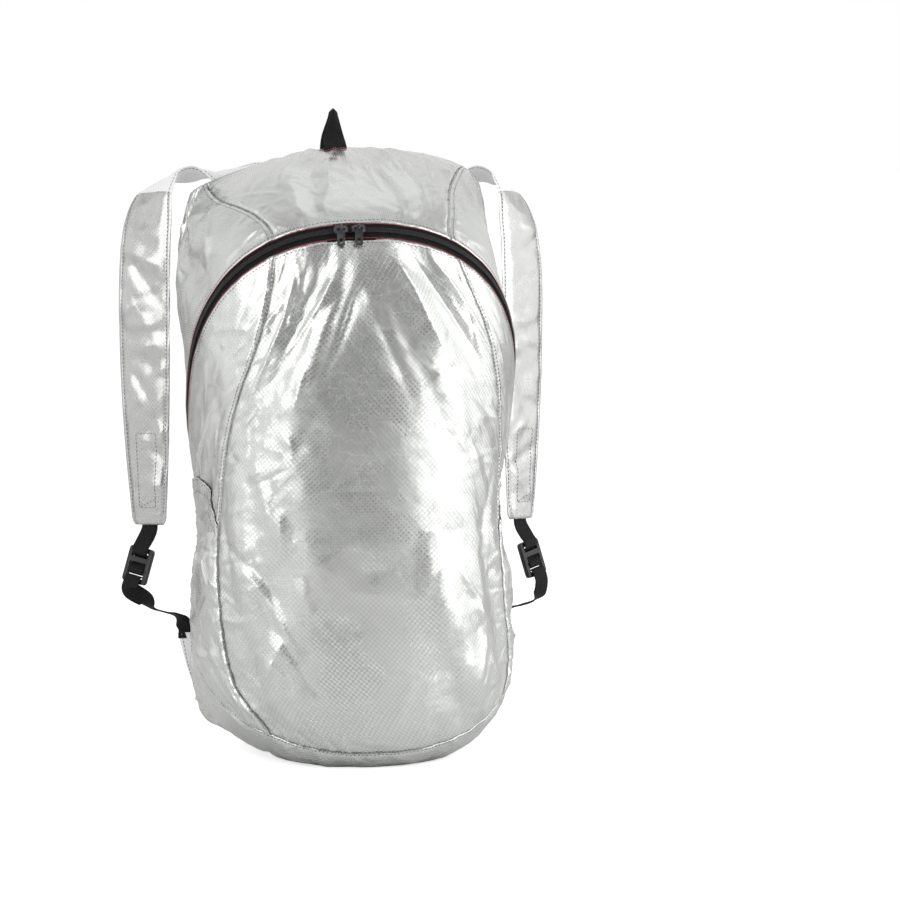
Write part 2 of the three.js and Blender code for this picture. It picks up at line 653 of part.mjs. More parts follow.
// The loop of webbing stands on the top-back seam: one leg before it, one behind, pinched narrow above.
function grabLoop() {
  const middleTurn = stepAcross(nearMiddle, 1, loopCentre - smoothPoint(0, 1).x);
  const footTurn = stepAcross(nearMiddle, 1, loopWidth / 2);
  const crown = shellPoint(middleTurn, 1, 0);
  const seat = shellPoint(middleTurn, loopSeatLine, 0);
  for (const turn of evenly(6, middleTurn - footTurn, middleTurn + footTurn)) {
    seat.z = Math.max(seat.z, shellPoint(turn, (loopSeatLine + 1) / 2, 0).z);
  }
  const back = backPlane + seamGap + clothThickness + seamGap + loopThickness / 2;
  const row = (y, z, wide, faceY, faceZ) => ({
    place: new THREE.Vector3(loopCentre, y, z), face: new THREE.Vector3(0, faceY, faceZ), wide,
  });
  const top = crown.z + loopRise;
  const middle = (seat.y + back) / 2;
  return ribbon([
    row(seat.y, seat.z + seamGap, loopWidth, -1, 0),
    row(middle - loopSpread / 2, mix(crown.z, top, 0.35), loopWidth * 0.85, -1, 0.05),
    row(middle - loopSpread / 3, mix(crown.z, top, 0.8), loopWidth * 0.5, -0.95, 0.3),
    row(middle, top, loopWidth * 0.38, 0, 1),
    row(middle + loopSpread / 3, mix(crown.z, top, 0.8), loopWidth * 0.5, 0.95, 0.3),
    row(back, mix(crown.z, top, 0.3), loopWidth * 0.85, 1, 0.05),
    row(back + seamGap, crown.z - loopTuck / 3, loopWidth, 1, 0),
    row(back + seamGap * 3, crown.z - loopTuck, loopWidth, 1, 0),
  ], loopThickness, loopSteps, flatEdge);
}

function toSolid(geometry) {
  const bare = geometry.clone();
  bare.deleteAttribute('normal');
  bare.deleteAttribute('uv');
  const merged = mergeVertices(bare, 0.0001);
  return new solids.Manifold(new solids.Mesh({
    numProp: 3,
    vertProperties: new Float32Array(merged.attributes.position.array),
    triVerts: new Uint32Array(merged.index.array),
  }));
}

function toGeometry(solid) {
  const mesh = solid.getMesh();
  const geometry = new THREE.BufferGeometry();
  geometry.setAttribute('position', new THREE.Float32BufferAttribute(mesh.vertProperties, 3));
  geometry.setIndex(Array.from(mesh.triVerts));
  geometry.computeVertexNormals();
  return geometry;
}

// Where a slider rides on the zip: the turn and shift from its own directions along, up and out.
function sliderFrame(side) {
  const reach = sliderOffCentre + (side * sliderSpacing) / 2;
  const across = stepAcross(nearMiddle, zipLine, reach - smoothPoint(0, zipLine).x);
  const along = tangents(across, zipLine).right.normalize();
  const out = outward(across, zipLine);
  const up = out.clone().cross(along).normalize();
  return new THREE.Matrix4().makeBasis(along, up, out).setPosition(shellPoint(across, zipLine, 0));
}

const sliderFloor = seamGap + coilHeight + seamGap;
const pivotHeight = sliderFloor + sliderHeight + bailRise;

function zipSlider(side) {
  const outline = new THREE.Shape();
  const half = sliderLength / 2;
  outline.moveTo(-half, -sliderWidth * 0.32);
  outline.quadraticCurveTo(-half * 0.3, -sliderWidth / 2, half * 0.35, -sliderWidth / 2);
  outline.quadraticCurveTo(half, -sliderWidth / 2, half, -sliderWidth * 0.2);
  outline.lineTo(half, sliderWidth * 0.2);
  outline.quadraticCurveTo(half, sliderWidth / 2, half * 0.35, sliderWidth / 2);
  outline.quadraticCurveTo(-half * 0.3, sliderWidth / 2, -half, sliderWidth * 0.32);
  outline.closePath();
  const body = new THREE.ExtrudeGeometry(outline, {
    depth: sliderHeight, bevelEnabled: false, curveSegments: 4,
  });
  if (side < 0) body.rotateZ(Math.PI);
  body.translate(0, 0, sliderFloor);
  const legInner = eyeThickness / 2 + eyeEndGap;
  const legOuter = legInner + bailBar;
  const chamfer = bailBar * 0.3;
  const low = sliderFloor + sliderHeight - chamfer;
  const high = pivotHeight + bailBar / 2;
  const staple = new THREE.Shape();
  staple.moveTo(-legOuter, low);
  staple.lineTo(-legInner, low);
  staple.lineTo(-legInner, pivotHeight - bailBar / 2);
  staple.lineTo(legInner, pivotHeight - bailBar / 2);
  staple.lineTo(legInner, low);
  staple.lineTo(legOuter, low);
  staple.lineTo(legOuter, high - chamfer);
  staple.lineTo(legOuter - chamfer, high);
  staple.lineTo(chamfer - legOuter, high);
  staple.lineTo(-legOuter, high - chamfer);
  staple.closePath();
  const bail = new THREE.ExtrudeGeometry(staple, { depth: bailBar, bevelEnabled: false });
  bail.translate(0, 0, -bailBar / 2);
  bail.rotateX(Math.PI / 2);
  return toGeometry(toSolid(body).add(toSolid(bail))).applyMatrix4(sliderFrame(side));
}

// The pull hangs straight down from the bail: an eye round the bar, and a flat tab with an oval hole.
const eyeBore = (bailBar / 2) * Math.SQRT2 + runningGap;

function pullPivot(side) {
  return new THREE.Vector3(0, 0, pivotHeight).applyMatrix4(sliderFrame(side));
}

function zipPull(side) {
  const ring = new THREE.Shape();
  ring.absarc(0, 0, eyeBore + eyeRim, 0, 2 * Math.PI, false);
  const bore = new THREE.Path();
  bore.absarc(0, 0, eyeBore, 0, 2 * Math.PI, true);
  ring.holes.push(bore);
  const eye = new THREE.ExtrudeGeometry(ring, { depth: eyeThickness, bevelEnabled: false, curveSegments: 6 });
  eye.translate(0, 0, -eyeThickness / 2);
  eye.rotateY(Math.PI / 2);
  const tabTopEdge = -(eyeBore + eyeRim * 0.5);
  const tabMiddle = tabTopEdge - pullLength / 2;
  const outline = roundedOutline(new THREE.Shape(), pullWidth, pullLength, 1.8, 0, tabMiddle);
  const holeMiddle = tabTopEdge - pullLength * 0.68;
  const hole = { width: pullWidth * 0.42, height: pullLength * 0.34, corner: 1.1 };
  outline.holes.push(roundedOutline(new THREE.Path(), hole.width, hole.height, hole.corner, 0, holeMiddle));
  const tab = new THREE.ExtrudeGeometry(outline, {
    depth: pullThickness, bevelEnabled: false, curveSegments: 3,
  });
  tab.translate(0, 0, -pullThickness / 2);
  tab.rotateX(Math.PI / 2);
  const geometry = toGeometry(toSolid(eye).add(toSolid(tab)));
  const pivot = pullPivot(side);
  return geometry.translate(pivot.x, pivot.y, pivot.z);
}

const group = new THREE.Group();

function addPiece(name, geometry, colour, roughness, metalness) {
  const material = new THREE.MeshStandardMaterial({ color: colour, roughness, metalness });
  const mesh = new THREE.Mesh(geometry, material);
  mesh.name = name;
  group.add(mesh);
}

function addCloth(name, geometry) {
  addPiece(name, geometry, cloth.silver, 0.4, 0.35);
}

function addBlack(name, geometry) {
  addPiece(name, geometry, cloth.black, 0.8, 0);
}

addCloth('front_panel', bodyPanel(frontSpan));
addCloth('side_panel_left', bodyPanel(leftSide));
addCloth('side_panel_right', bodyPanel(rightSide));
addCloth('bottom_panel', shellPiece(wholeSpan, floorLine, bottomTop, bottomRows, atCloth, underCloth));
addCloth('top_panel', roofPanel(frontSpan));
addCloth('shoulder_panel_left', roofPanel(leftSide));
addCloth('shoulder_panel_right', roofPanel(rightSide));
addCloth('back_panel', backPanel());
addCloth('side_pocket_left', sidePocket(leftSide));
addCloth('side_pocket_right', sidePocket(rightSide));
addBlack('zip_tape_lower', zipTape(-1));
addBlack('zip_tape_upper', zipTape(1));
addBlack('zip_coil', zipCoil());
addBlack('grab_loop', grabLoop());

for (const [name, side] of [['left', -1], ['right', 1]]) {
  addPiece(`zip_slider_${name}`, zipSlider(side), cloth.metal, 0.35, 0.8);
  addPiece(`zip_pull_${name}`, zipPull(side), cloth.metal, 0.35, 0.8);
  addPiece(`shoulder_strap_${name}`, shoulderStrap(side), cloth.shade, 0.4, 0.35);
  addBlack(`strap_webbing_upper_${name}`, upperWebbing(side));
  addPiece(`ladder_lock_${name}`, ladderLock(side), cloth.black, 0.45, 0);
  addBlack(`strap_webbing_lower_${name}`, lowerWebbing(side));
  addCloth(`strap_tab_${name}`, strapTab(side));
}

export default group;
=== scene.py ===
"""A light packable daypack of silver ripstop cloth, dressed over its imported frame.

The bag stands upright, stuffed full, with its zip side towards -Y. Every piece of its shell is a grid over one
flat map: across runs from -1 at the left edge of the back, round the front, to +1 at its right edge, and along
runs from 0 at the bottom-back seam, under the bottom, up the front and over the top, to 1 at the top-back seam.
The long seams lie at across -0.5 and +0.5, the bottom seam and the zip each on one line of along. Lengths are
in metres.
"""

from __future__ import annotations

import json
import logging
import math
from dataclasses import dataclass, field
from enum import Enum
from typing import Callable

import bmesh
import bpy
import numpy as np
from mathutils import Matrix, Vector

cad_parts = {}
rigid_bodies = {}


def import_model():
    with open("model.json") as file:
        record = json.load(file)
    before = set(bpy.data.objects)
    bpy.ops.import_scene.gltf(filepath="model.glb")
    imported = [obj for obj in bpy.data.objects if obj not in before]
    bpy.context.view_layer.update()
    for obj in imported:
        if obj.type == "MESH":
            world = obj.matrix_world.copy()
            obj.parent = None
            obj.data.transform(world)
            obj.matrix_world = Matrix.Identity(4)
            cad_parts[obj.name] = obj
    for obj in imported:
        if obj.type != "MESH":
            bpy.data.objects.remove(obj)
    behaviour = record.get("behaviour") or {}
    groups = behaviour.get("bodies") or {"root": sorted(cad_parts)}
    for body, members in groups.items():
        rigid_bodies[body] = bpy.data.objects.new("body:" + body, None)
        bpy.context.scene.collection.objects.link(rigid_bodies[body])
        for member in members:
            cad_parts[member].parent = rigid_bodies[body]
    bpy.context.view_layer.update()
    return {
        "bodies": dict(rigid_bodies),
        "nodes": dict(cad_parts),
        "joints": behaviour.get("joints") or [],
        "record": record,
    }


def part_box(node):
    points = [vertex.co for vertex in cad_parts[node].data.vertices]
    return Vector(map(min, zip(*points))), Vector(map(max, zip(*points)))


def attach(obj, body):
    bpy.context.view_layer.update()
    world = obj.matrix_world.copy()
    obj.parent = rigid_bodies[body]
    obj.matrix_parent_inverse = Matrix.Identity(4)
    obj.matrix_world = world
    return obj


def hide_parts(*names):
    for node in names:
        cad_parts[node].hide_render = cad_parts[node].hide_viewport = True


LOG = logging.getLogger("daypack")
MM = 0.001
BODY = "bag"

BAG_HEIGHT = 0.478
BAG_WIDTH = 0.260
BAG_DEPTH = 0.165
BACK_PLANE = 0.062
SEAM_GAP = 0.3 * MM
WALL = 1.2 * MM
CLOTH = 0.55 * MM
BOTTOM_SEAM = 0.3
ZIP_LINE = 0.8
TAPE_WIDTH = 12.6 * MM
LONG_SEAM = 0.5

# What one whole step of across and of along is on the flat map.
FLAT_SCALE = np.array([0.25, 0.77])


# Where the two zip pulls hang on the flat map, and how far round them the cloth lies plain.
PULLS_ON_MAP = (-0.0185, 0.602)
PULLS_CLEAR = 19 * MM
PULLS_FADE = 40 * MM


class Side(Enum):
    """The wearer's pieces come in pairs; the value is the sign of X."""

    LEFT = -1
    RIGHT = 1

    @property
    def word(self) -> str:
        """The ending of this side's node names."""
        return self.name.lower()


class Edge(Enum):
    """The four edges of a grid of cloth."""

    LEFT = "left"
    RIGHT = "right"
    LOW = "low"
    HIGH = "high"


def unit(vectors: np.ndarray) -> np.ndarray:
    """Vectors divided by their own lengths."""
    return vectors / np.maximum(np.linalg.norm(vectors, axis=-1, keepdims=True), 1e-12)


def smoothstep(low: float, high: float, value: np.ndarray) -> np.ndarray:
    """0 below low, 1 above high, and 3t^2 - 2t^3 of the share between them."""
    share = np.clip((value - low) / (high - low), 0.0, 1.0)
    return share * share * (3.0 - 2.0 * share)


def signed_power(value: np.ndarray, power: np.ndarray) -> np.ndarray:
    """The size of a value raised to a power, with the value's own sign."""
    return np.sign(value) * np.abs(value) ** power


@dataclass(frozen=True)
class Table:
    """Rows of given shares, read as smooth curves along their first column."""

    columns: tuple[str, ...]
    rows: tuple[tuple[float, ...], ...]

    def follow(self, column: str, place: np.ndarray) -> np.ndarray:
        """A cubic Hermite curve through one column, whose slope at a row is that between its neighbours.

        Args:
            column: the column's name.
            place: where to read it, in the units of the first column.

        Returns:
            The curve's values, shaped like place.
        """
        grid = np.array(self.rows)
        knots, values = grid[:, 0], grid[:, self.columns.index(column)]
        last = len(knots) - 1
        index = np.arange(last + 1)
        before, after = np.maximum(index - 1, 0), np.minimum(index + 1, last)
        slope = (values[after] - values[before]) / (knots[after] - knots[before])
        at = np.clip(place, knots[0], knots[-1])
        i = np.clip(np.searchsorted(knots, at) - 1, 0, last - 1)
        length = knots[i + 1] - knots[i]
        u = (at - knots[i]) / length
        ends = (2 * u**3 - 3 * u**2 + 1) * values[i] + (3 * u**2 - 2 * u**3) * values[i + 1]
        bends = (u**3 - 2 * u**2 + u) * slope[i] + (u**3 - u**2) * slope[i + 1]
        return ends + length * bends


# at: place along. depth: how far the line's middle stands before the back, as a share of BAG_DEPTH. rise, edge:
# heights of its middle and its ends, as shares of BAG_HEIGHT. half, lean: its half width and its shift to the
# right, as shares of BAG_WIDTH / 2. wrap: degrees it turns to each side. round, round_left: 1 is an ellipse.
SECTIONS = Table(
    ("at", "depth", "rise", "edge", "half", "lean", "wrap", "round", "round_left"),
    (
        (0.00, 0.000, 0.012, 0.045, 0.820, 0.000, 90, 0.80, 0.80),
        (0.06, 0.120, -0.008, 0.090, 0.885, 0.010, 95, 0.90, 0.93),
        (0.14, 0.400, -0.014, 0.130, 0.930, 0.030, 99, 0.93, 0.98),
        (0.22, 0.740, -0.010, 0.170, 0.955, 0.045, 102, 0.92, 0.98),
        (0.30, 0.940, 0.026, 0.215, 0.965, 0.045, 104, 0.88, 0.94),
        (0.36, 0.990, 0.100, 0.240, 0.960, 0.045, 104, 0.84, 0.86),
        (0.46, 1.000, 0.270, 0.300, 0.930, 0.035, 104, 0.80, 0.82),
        (0.56, 0.985, 0.450, 0.350, 0.905, 0.030, 104, 0.82, 0.84),
        (0.66, 0.940, 0.620, 0.400, 0.925, 0.040, 107, 0.86, 0.86),
        (0.74, 0.875, 0.755, 0.440, 0.970, 0.050, 109, 0.88, 0.85),
        (0.80, 0.790, 0.860, 0.500, 0.985, 0.050, 109, 0.88, 0.83),
        (0.86, 0.640, 0.918, 0.610, 0.980, 0.035, 105, 0.88, 0.90),
        (0.92, 0.400, 0.964, 0.750, 0.965, -0.015, 98, 0.88, 1.05),
        (0.97, 0.150, 0.990, 0.865, 0.930, -0.010, 93, 0.86, 1.30),
        (1.00, 0.000, 0.990, 0.915, 0.890, 0.000, 90, 0.85, 1.55),
    ),
)

# left, right: how far the long seams lie from the middle, as shares of the line's own half width.
LONG_SEAMS = Table(
    ("at", "left", "right"),
    (
        (0.00, 0.600, 0.800),
        (0.30, 0.600, 0.900),
        (0.36, 0.820, 0.940),
        (0.46, 0.915, 0.940),
        (0.56, 0.920, 0.950),
        (0.66, 0.840, 0.925),
        (0.74, 0.620, 0.785),
        (0.80, 0.540, 0.530),
        (0.86, 0.600, 0.560),
        (0.93, 0.740, 0.700),
        (1.00, 0.890, 0.870),
    ),
)

# The main folds, which the frame has too: start and end on the map, height as a share of FOLD_HEIGHT, half width.
FOLD_HEIGHT = 7 * MM
MAIN_FOLDS = (
    (-0.08, 0.79, -0.22, 0.64, 0.55, 0.06),
    (-0.20, 0.79, -0.34, 0.66, -0.50, 0.06),
    (0.06, 0.79, 0.24, 0.66, 0.60, 0.06),
    (0.20, 0.79, 0.38, 0.68, -0.50, 0.06),
    (0.14, 0.48, 0.30, 0.36, 0.75, 0.06),
    (-0.42, 0.58, -0.30, 0.40, 0.50, 0.07),
    (-0.62, 0.62, -0.86, 0.50, -0.80, 0.08),
    (-0.56, 0.48, -0.92, 0.44, 0.60, 0.06),
    (0.62, 0.60, 0.88, 0.52, -0.80, 0.08),
    (0.58, 0.46, 0.90, 0.42, 0.60, 0.06),
    (-0.70, 0.83, -0.84, 0.96, -0.55, 0.07),
    (0.70, 0.83, 0.86, 0.96, -0.55, 0.07),
    (-0.04, 0.98, -0.24, 0.85, -0.50, 0.05),
    (0.06, 0.98, 0.26, 0.85, -0.50, 0.05),
    (-0.45, 0.32, -0.20, 0.50, -0.45, 0.06),
    (0.45, 0.34, 0.34, 0.56, -0.45, 0.06),
)

# Sharper folds seen on the cloth: start and end on the map, height and half width in millimetres.
SHARP_FOLDS = (
    (-0.10, 0.775, -0.30, 0.700, 2.4, 9),
    (-0.02, 0.770, -0.13, 0.660, 1.8, 8),
    (0.10, 0.775, 0.22, 0.690, 2.2, 9),
    (0.18, 0.780, 0.40, 0.705, -2.0, 8),
    (0.30, 0.780, 0.47, 0.730, 1.8, 7),
    (0.00, 0.740, 0.10, 0.640, -1.5, 8),
    (-0.36, 0.760, -0.42, 0.660, 1.8, 7),
    (0.20, 0.500, 0.31, 0.455, 2.4, 8),
    (0.31, 0.455, 0.33, 0.415, 2.4, 8),
    (0.33, 0.415, 0.28, 0.370, 2.2, 8),
    (-0.34, 0.600, -0.24, 0.520, 2.0, 9),
    (-0.46, 0.520, -0.28, 0.480, -1.8, 8),
    (-0.30, 0.470, -0.20, 0.420, 1.6, 8),
    (0.24, 0.640, 0.38, 0.560, 1.8, 10),
    (0.42, 0.600, 0.34, 0.500, -1.6, 8),
    (-0.40, 0.345, -0.24, 0.420, 2.0, 8),
    (-0.20, 0.325, -0.10, 0.390, -1.6, 7),
    (0.02, 0.320, 0.08, 0.390, 1.6, 8),
    (0.24, 0.325, 0.18, 0.400, -1.6, 7),
    (0.42, 0.340, 0.30, 0.420, 1.8, 8),
    (-0.10, 0.985, -0.30, 0.900, 2.0, 8),
    (-0.02, 0.985, -0.10, 0.880, 1.8, 7),
    (0.03, 0.985, 0.10, 0.870, -1.8, 7),
    (0.08, 0.985, 0.30, 0.890, 2.0, 8),
    (0.30, 0.970, 0.42, 0.900, -2.0, 8),
    (-0.54, 0.940, -0.72, 0.860, 2.0, 9),
    (0.56, 0.950, 0.74, 0.870, 2.0, 9),
    (-0.66, 0.700, -0.90, 0.640, 2.2, 10),
    (0.66, 0.720, 0.90, 0.640, 2.2, 10),
    (-0.58, 0.380, -0.80, 0.340, 2.0, 9),
    (0.58, 0.380, 0.80, 0.340, 2.0, 9),
)


def flat_map(across: np.ndarray, along: np.ndarray) -> np.ndarray:
    """The place on the flat map in metres, as an array whose last axis is two long."""
    return np.stack(np.broadcast_arrays(across, along), axis=-1) * FLAT_SCALE


@dataclass(frozen=True)
class Creases:
    """Straight ridges and dents in flat cloth, in metres.

    A crease's height falls with the distance d from its line as (1 - d/w)^2 (1 + soft d/w), where w is its half
    width. Along its line it either swells as half a sine, or, where it fans, starts full and narrow at a seam and
    fades while it widens.
    """

    start: np.ndarray
    end: np.ndarray
    height: np.ndarray
    width: np.ndarray
    soft: np.ndarray
    fans: np.ndarray

    @staticmethod
    def of(rows: list[tuple], soft: float, fans: bool) -> "Creases":
        """Creases from rows of (x0, y0, x1, y1, height, width), all equally soft."""
        table = np.array(rows, float).reshape(-1, 6)
        count = len(table)
        return Creases(table[:, 0:2], table[:, 2:4], table[:, 4], table[:, 5], np.full(count, soft),
                       np.full(count, fans))

    def __add__(self, other: "Creases") -> "Creases":
        """Both sets of creases together."""
        names = ("start", "end", "height", "width", "soft", "fans")
        return Creases(*(np.concatenate([getattr(self, n), getattr(other, n)]) for n in names))

    def relief(self, flat: np.ndarray) -> np.ndarray:
        """The sum of all the creases' heights at places of the flat cloth.

        Args:
            flat: places in metres, with a last axis of two.

        Returns:
            Heights in metres, without that axis.
        """
        spots = flat.reshape(-1, 2)
        total = np.zeros(len(spots))
        for start, end, height, width, soft, fans in zip(
                self.start, self.end, self.height, self.width, self.soft, self.fans):
            run = end - start
            reach = np.linalg.norm(run) / 2 + width
            near = np.flatnonzero(np.abs(spots - (start + end) / 2).max(-1) < reach)
            if not len(near):
                continue
            here = spots[near] - start
            share = np.clip(here @ run / max(run @ run, 1e-12), 0.0, 1.0)
            away = np.linalg.norm(here - share[:, None] * run, axis=-1)
            spread = width * (0.4 + 0.6 * share) if fans else width
            ratio = np.clip(away / spread, 0.0, 1.0)
            swell = (1.0 - share) ** 1.3 if fans else np.sin(np.pi * (0.12 + 0.76 * share))
            total[near] += height * swell * (1.0 - ratio) ** 2 * (1.0 + soft * ratio)
        return total.reshape(flat.shape[:-1])


@dataclass(frozen=True)
class SeamLine:
    """A seam on the flat map, with the side to which its puckers run."""

    start: tuple[float, float]
    end: tuple[float, float]
    away: tuple[float, float]

    def puckers(self, rng: np.random.Generator, spacing: float, reach: float, height: float) -> Creases:
        """Short creases that start on the seam and fan out from it, where its thread draws the cloth in.

        Args:
            rng: the source of their spread.
            spacing: the usual distance between two of them.
            reach: their usual length.
            height: their usual height.

        Returns:
            The creases, about half of them ridges and half dents.
        """
        first, last = np.array(self.start) * FLAT_SCALE, np.array(self.end) * FLAT_SCALE
        length = np.linalg.norm(last - first)
        count = max(int(length / spacing), 1)
        place = (np.arange(count) + rng.uniform(-0.35, 0.35, count) + 0.5) / count
        root = first + np.clip(place, 0, 1)[:, None] * (last - first)
        along = (last - first) / length
        slant = rng.normal(0.0, 0.35, count)
        way = unit(np.array(self.away) + slant[:, None] * along)
        long = reach * rng.gamma(3.0, 1 / 3.0, count)
        sign = np.where(np.arange(count) % 2 == 0, 1.0, -0.8)
        tall = height * sign * rng.uniform(0.5, 1.3, count)
        wide = spacing * rng.uniform(0.55, 1.0, count)
        return Creases(root, root + long[:, None] * way, tall, wide, np.full(count, 1.0), np.full(count, True))


@dataclass(frozen=True)
class Facets:
    """Crumpled cloth as flat facets: random heights on a sheared grid, joined by flat triangles."""

    cell: float
    height: float
    seed: int
    warp: float = 0.35

    def relief(self, flat: np.ndarray) -> np.ndarray:
        """The facets' height: linear inside each triangle of a grid that is first bent by slow sines.

        Args:
            flat: places in metres, with a last axis of two.

        Returns:
            Heights in metres, without that axis.
        """
        rng = np.random.default_rng(self.seed)
        heights = rng.uniform(-1.0, 1.0, (64, 64))
        jitter = rng.uniform(0, 2 * np.pi, 4)
        x, y = flat[..., 0] / self.cell, flat[..., 1] / self.cell
        bent_x = x + self.warp * (np.sin(1.9 * y + jitter[0]) + 0.6 * np.sin(3.7 * y + 1.3 * x + jitter[1]))
        bent_y = y + self.warp * (np.sin(1.7 * x + jitter[2]) + 0.6 * np.sin(3.1 * x - 1.6 * y + jitter[3]))
        u, v = bent_x + 0.37 * bent_y + 64.0, bent_y - 0.21 * bent_x + 64.0
        i, j = np.floor(u).astype(int), np.floor(v).astype(int)
        fu, fv = u - i, v - j

        def corner(di: int, dj: int) -> np.ndarray:
            """The random height of one corner of each cell."""
            return heights[(i + di) % 64, (j + dj) % 64]

        lower = corner(0, 0) + fu * (corner(1, 0) - corner(0, 0)) + fv * (corner(0, 1) - corner(0, 0))
        upper = corner(1, 1) + (1 - fu) * (corner(0, 1) - corner(1, 1)) + (1 - fv) * (corner(1, 0) - corner(1, 1))
        return self.height * np.where(fu + fv < 1.0, lower, upper)


@dataclass
class BagForm:
    """The stuffed bag's shape, as one surface over the flat map, with all of its folds and seams."""

    seed: int = 41
    rim_fade: float = 0.05
    creases: Creases = field(init=False)
    facets: tuple[Facets, ...] = (
        Facets(36 * MM, 1.2 * MM, 3), Facets(17 * MM, 0.5 * MM, 5), Facets(8.5 * MM, 0.2 * MM, 8))

    def __post_init__(self) -> None:
        """Draws the puckers along every seam, then adds the sharp folds."""
        rng = np.random.default_rng(self.seed)
        rows = [(a * FLAT_SCALE[0], b * FLAT_SCALE[1], c * FLAT_SCALE[0], d * FLAT_SCALE[1], h * MM, w * MM)
                for a, b, c, d, h, w in SHARP_FOLDS]
        creases = Creases.of(rows, 0.4, False)
        for seam in (-LONG_SEAM, LONG_SEAM):
            for away in (-1.0, 1.0):
                body = SeamLine((seam, BOTTOM_SEAM), (seam, ZIP_LINE), (away, 0.0))
                roof = SeamLine((seam, ZIP_LINE), (seam, 1.0), (away, 0.0))
                creases += body.puckers(rng, 9 * MM, 26 * MM, 1.5 * MM)
                creases += roof.puckers(rng, 9 * MM, 20 * MM, 1.3 * MM)
        for line, reach, tall in ((ZIP_LINE, 20 * MM, 1.0 * MM), (BOTTOM_SEAM, 28 * MM, 1.6 * MM)):
            for away in (-1.0, 1.0):
                seam_line = SeamLine((-1.0, line), (1.0, line), (0.0, away))
                creases += seam_line.puckers(rng, 10 * MM, reach, tall)
        for rim in (-1.0, 1.0):
            creases += SeamLine((rim, 0.0), (rim, 1.0), (-rim, 0.0)).puckers(rng, 13 * MM, 30 * MM, 1.6 * MM)
        creases += SeamLine((-1.0, 1.0), (1.0, 1.0), (0.0, -1.0)).puckers(rng, 11 * MM, 30 * MM, 1.4 * MM)
        creases += self.rays(rng, (-0.018, 0.99), (-170.0, -10.0), 22, 70 * MM, 1.2 * MM)
        creases += self.rays(rng, (0.03, 0.792), (-150.0, -30.0), 8, 75 * MM, 1.0 * MM, 2.0)
        self.creases = creases + self.scatter(rng, 330)

    def rays(self, rng: np.random.Generator, root: tuple, spread: tuple, count: int, reach: float,
             height: float, wide: float = 1.0) -> Creases:
        """Creases that fan out from one place on the map, between two directions in degrees."""
        angle = np.radians(np.linspace(*spread, count) + rng.uniform(-4, 4, count))
        way = np.stack([np.cos(angle), np.sin(angle)], axis=-1)
        long = (reach * rng.uniform(0.45, 1.25, count))[:, None]
        first = np.array(root) * FLAT_SCALE + way * rng.uniform(13, 30, (count, 1)) * MM
        tall = height * rng.uniform(0.5, 1.2, count) * np.where(np.arange(count) % 2 == 0, 1.0, -0.8)
        rows = np.column_stack([first, first + way * long, tall, wide * rng.uniform(5, 9, count) * MM])
        return Creases.of(list(map(tuple, rows)), 0.5, False)

    def scatter(self, rng: np.random.Generator, count: int) -> Creases:
        """Short sharp creases all over the bag, fewer in the middle of the front, mostly leaning inwards."""
        across = rng.uniform(-1.0, 1.0, count)
        middle = np.abs(across) < 0.2
        across = np.where(middle, np.sign(across) * (np.abs(across) + rng.uniform(0.0, 0.3, count)), across)
        along = rng.uniform(0.05, 0.98, count)
        root = np.stack([across, along], axis=-1) * FLAT_SCALE
        angle = np.radians(rng.normal(62.0, 30.0, count)) * np.where(rng.uniform(size=count) < 0.5, 1, -1)
        way = np.stack([np.cos(angle), np.sin(angle)], axis=-1) * (rng.gamma(3.0, 9.0, count) * MM)[:, None]
        tall = rng.uniform(0.4, 1.3, count) * rng.choice([-1.0, 1.0], count) * MM
        rows = np.column_stack([root, root + way, tall, rng.uniform(3.2, 6.5, count) * MM])
        return Creases.of(list(map(tuple, rows)), 0.3, False)

    def power(self, across: np.ndarray, along: np.ndarray) -> np.ndarray:
        """How boxy or sloping the line is on the side of the map that a place is on."""
        return np.where(across < 0, SECTIONS.follow("round_left", along), SECTIONS.follow("round", along))

    def turn(self, across: np.ndarray, along: np.ndarray) -> np.ndarray:
        """The angle round the bag in radians: even steps from the middle to the seam, and on to the rim."""
        wrap = np.radians(SECTIONS.follow("wrap", along))
        share = np.where(across < 0, LONG_SEAMS.follow("left", along), LONG_SEAMS.follow("right", along))
        seam = np.arcsin(share ** (1.0 / self.power(across, along))) / wrap
        size = np.abs(across)
        inner = size / LONG_SEAM * seam
        outer = seam + (size - LONG_SEAM) / (1.0 - LONG_SEAM) * (1.0 - seam)
        return np.sign(across) * np.where(size < LONG_SEAM, inner, outer) * wrap

    def smooth(self, across: np.ndarray, along: np.ndarray) -> np.ndarray:
        """The form before its folds: each line is a rounded arc that rises and falls back towards its ends.

        Args:
            across: places across the map.
            along: places along the map.

        Returns:
            Points, with a last axis of three.
        """
        across, along = np.broadcast_arrays(np.asarray(across, float), np.asarray(along, float))
        power = self.power(across, along)
        angle = self.turn(across, along)
        end = signed_power(np.cos(np.radians(SECTIONS.follow("wrap", along))), power)
        share = (signed_power(np.cos(angle), power) - end) / (1.0 - end)
        half = SECTIONS.follow("half", along) * signed_power(np.sin(angle), power)
        edge, rise = SECTIONS.follow("edge", along), SECTIONS.follow("rise", along)
        x = BAG_WIDTH / 2 * (half + SECTIONS.follow("lean", along))
        y = BACK_PLANE - BAG_DEPTH * SECTIONS.follow("depth", along) * share
        z = BAG_HEIGHT * (edge + (rise - edge) * share)
        return np.stack([x, y, z], axis=-1)

    def directions(self, across: np.ndarray, along: np.ndarray) -> tuple[np.ndarray, np.ndarray]:
        """How the form runs across and along at places, taken a little inside its rim."""
        step = 0.004
        a, b = np.clip(across, -0.985, 0.985), np.clip(along, 0.012, 0.988)
        right = (self.smooth(a + step, b) - self.smooth(a - step, b)) / (2 * step)
        up = (self.smooth(a, b + step) - self.smooth(a, b - step)) / (2 * step)
        return right, up

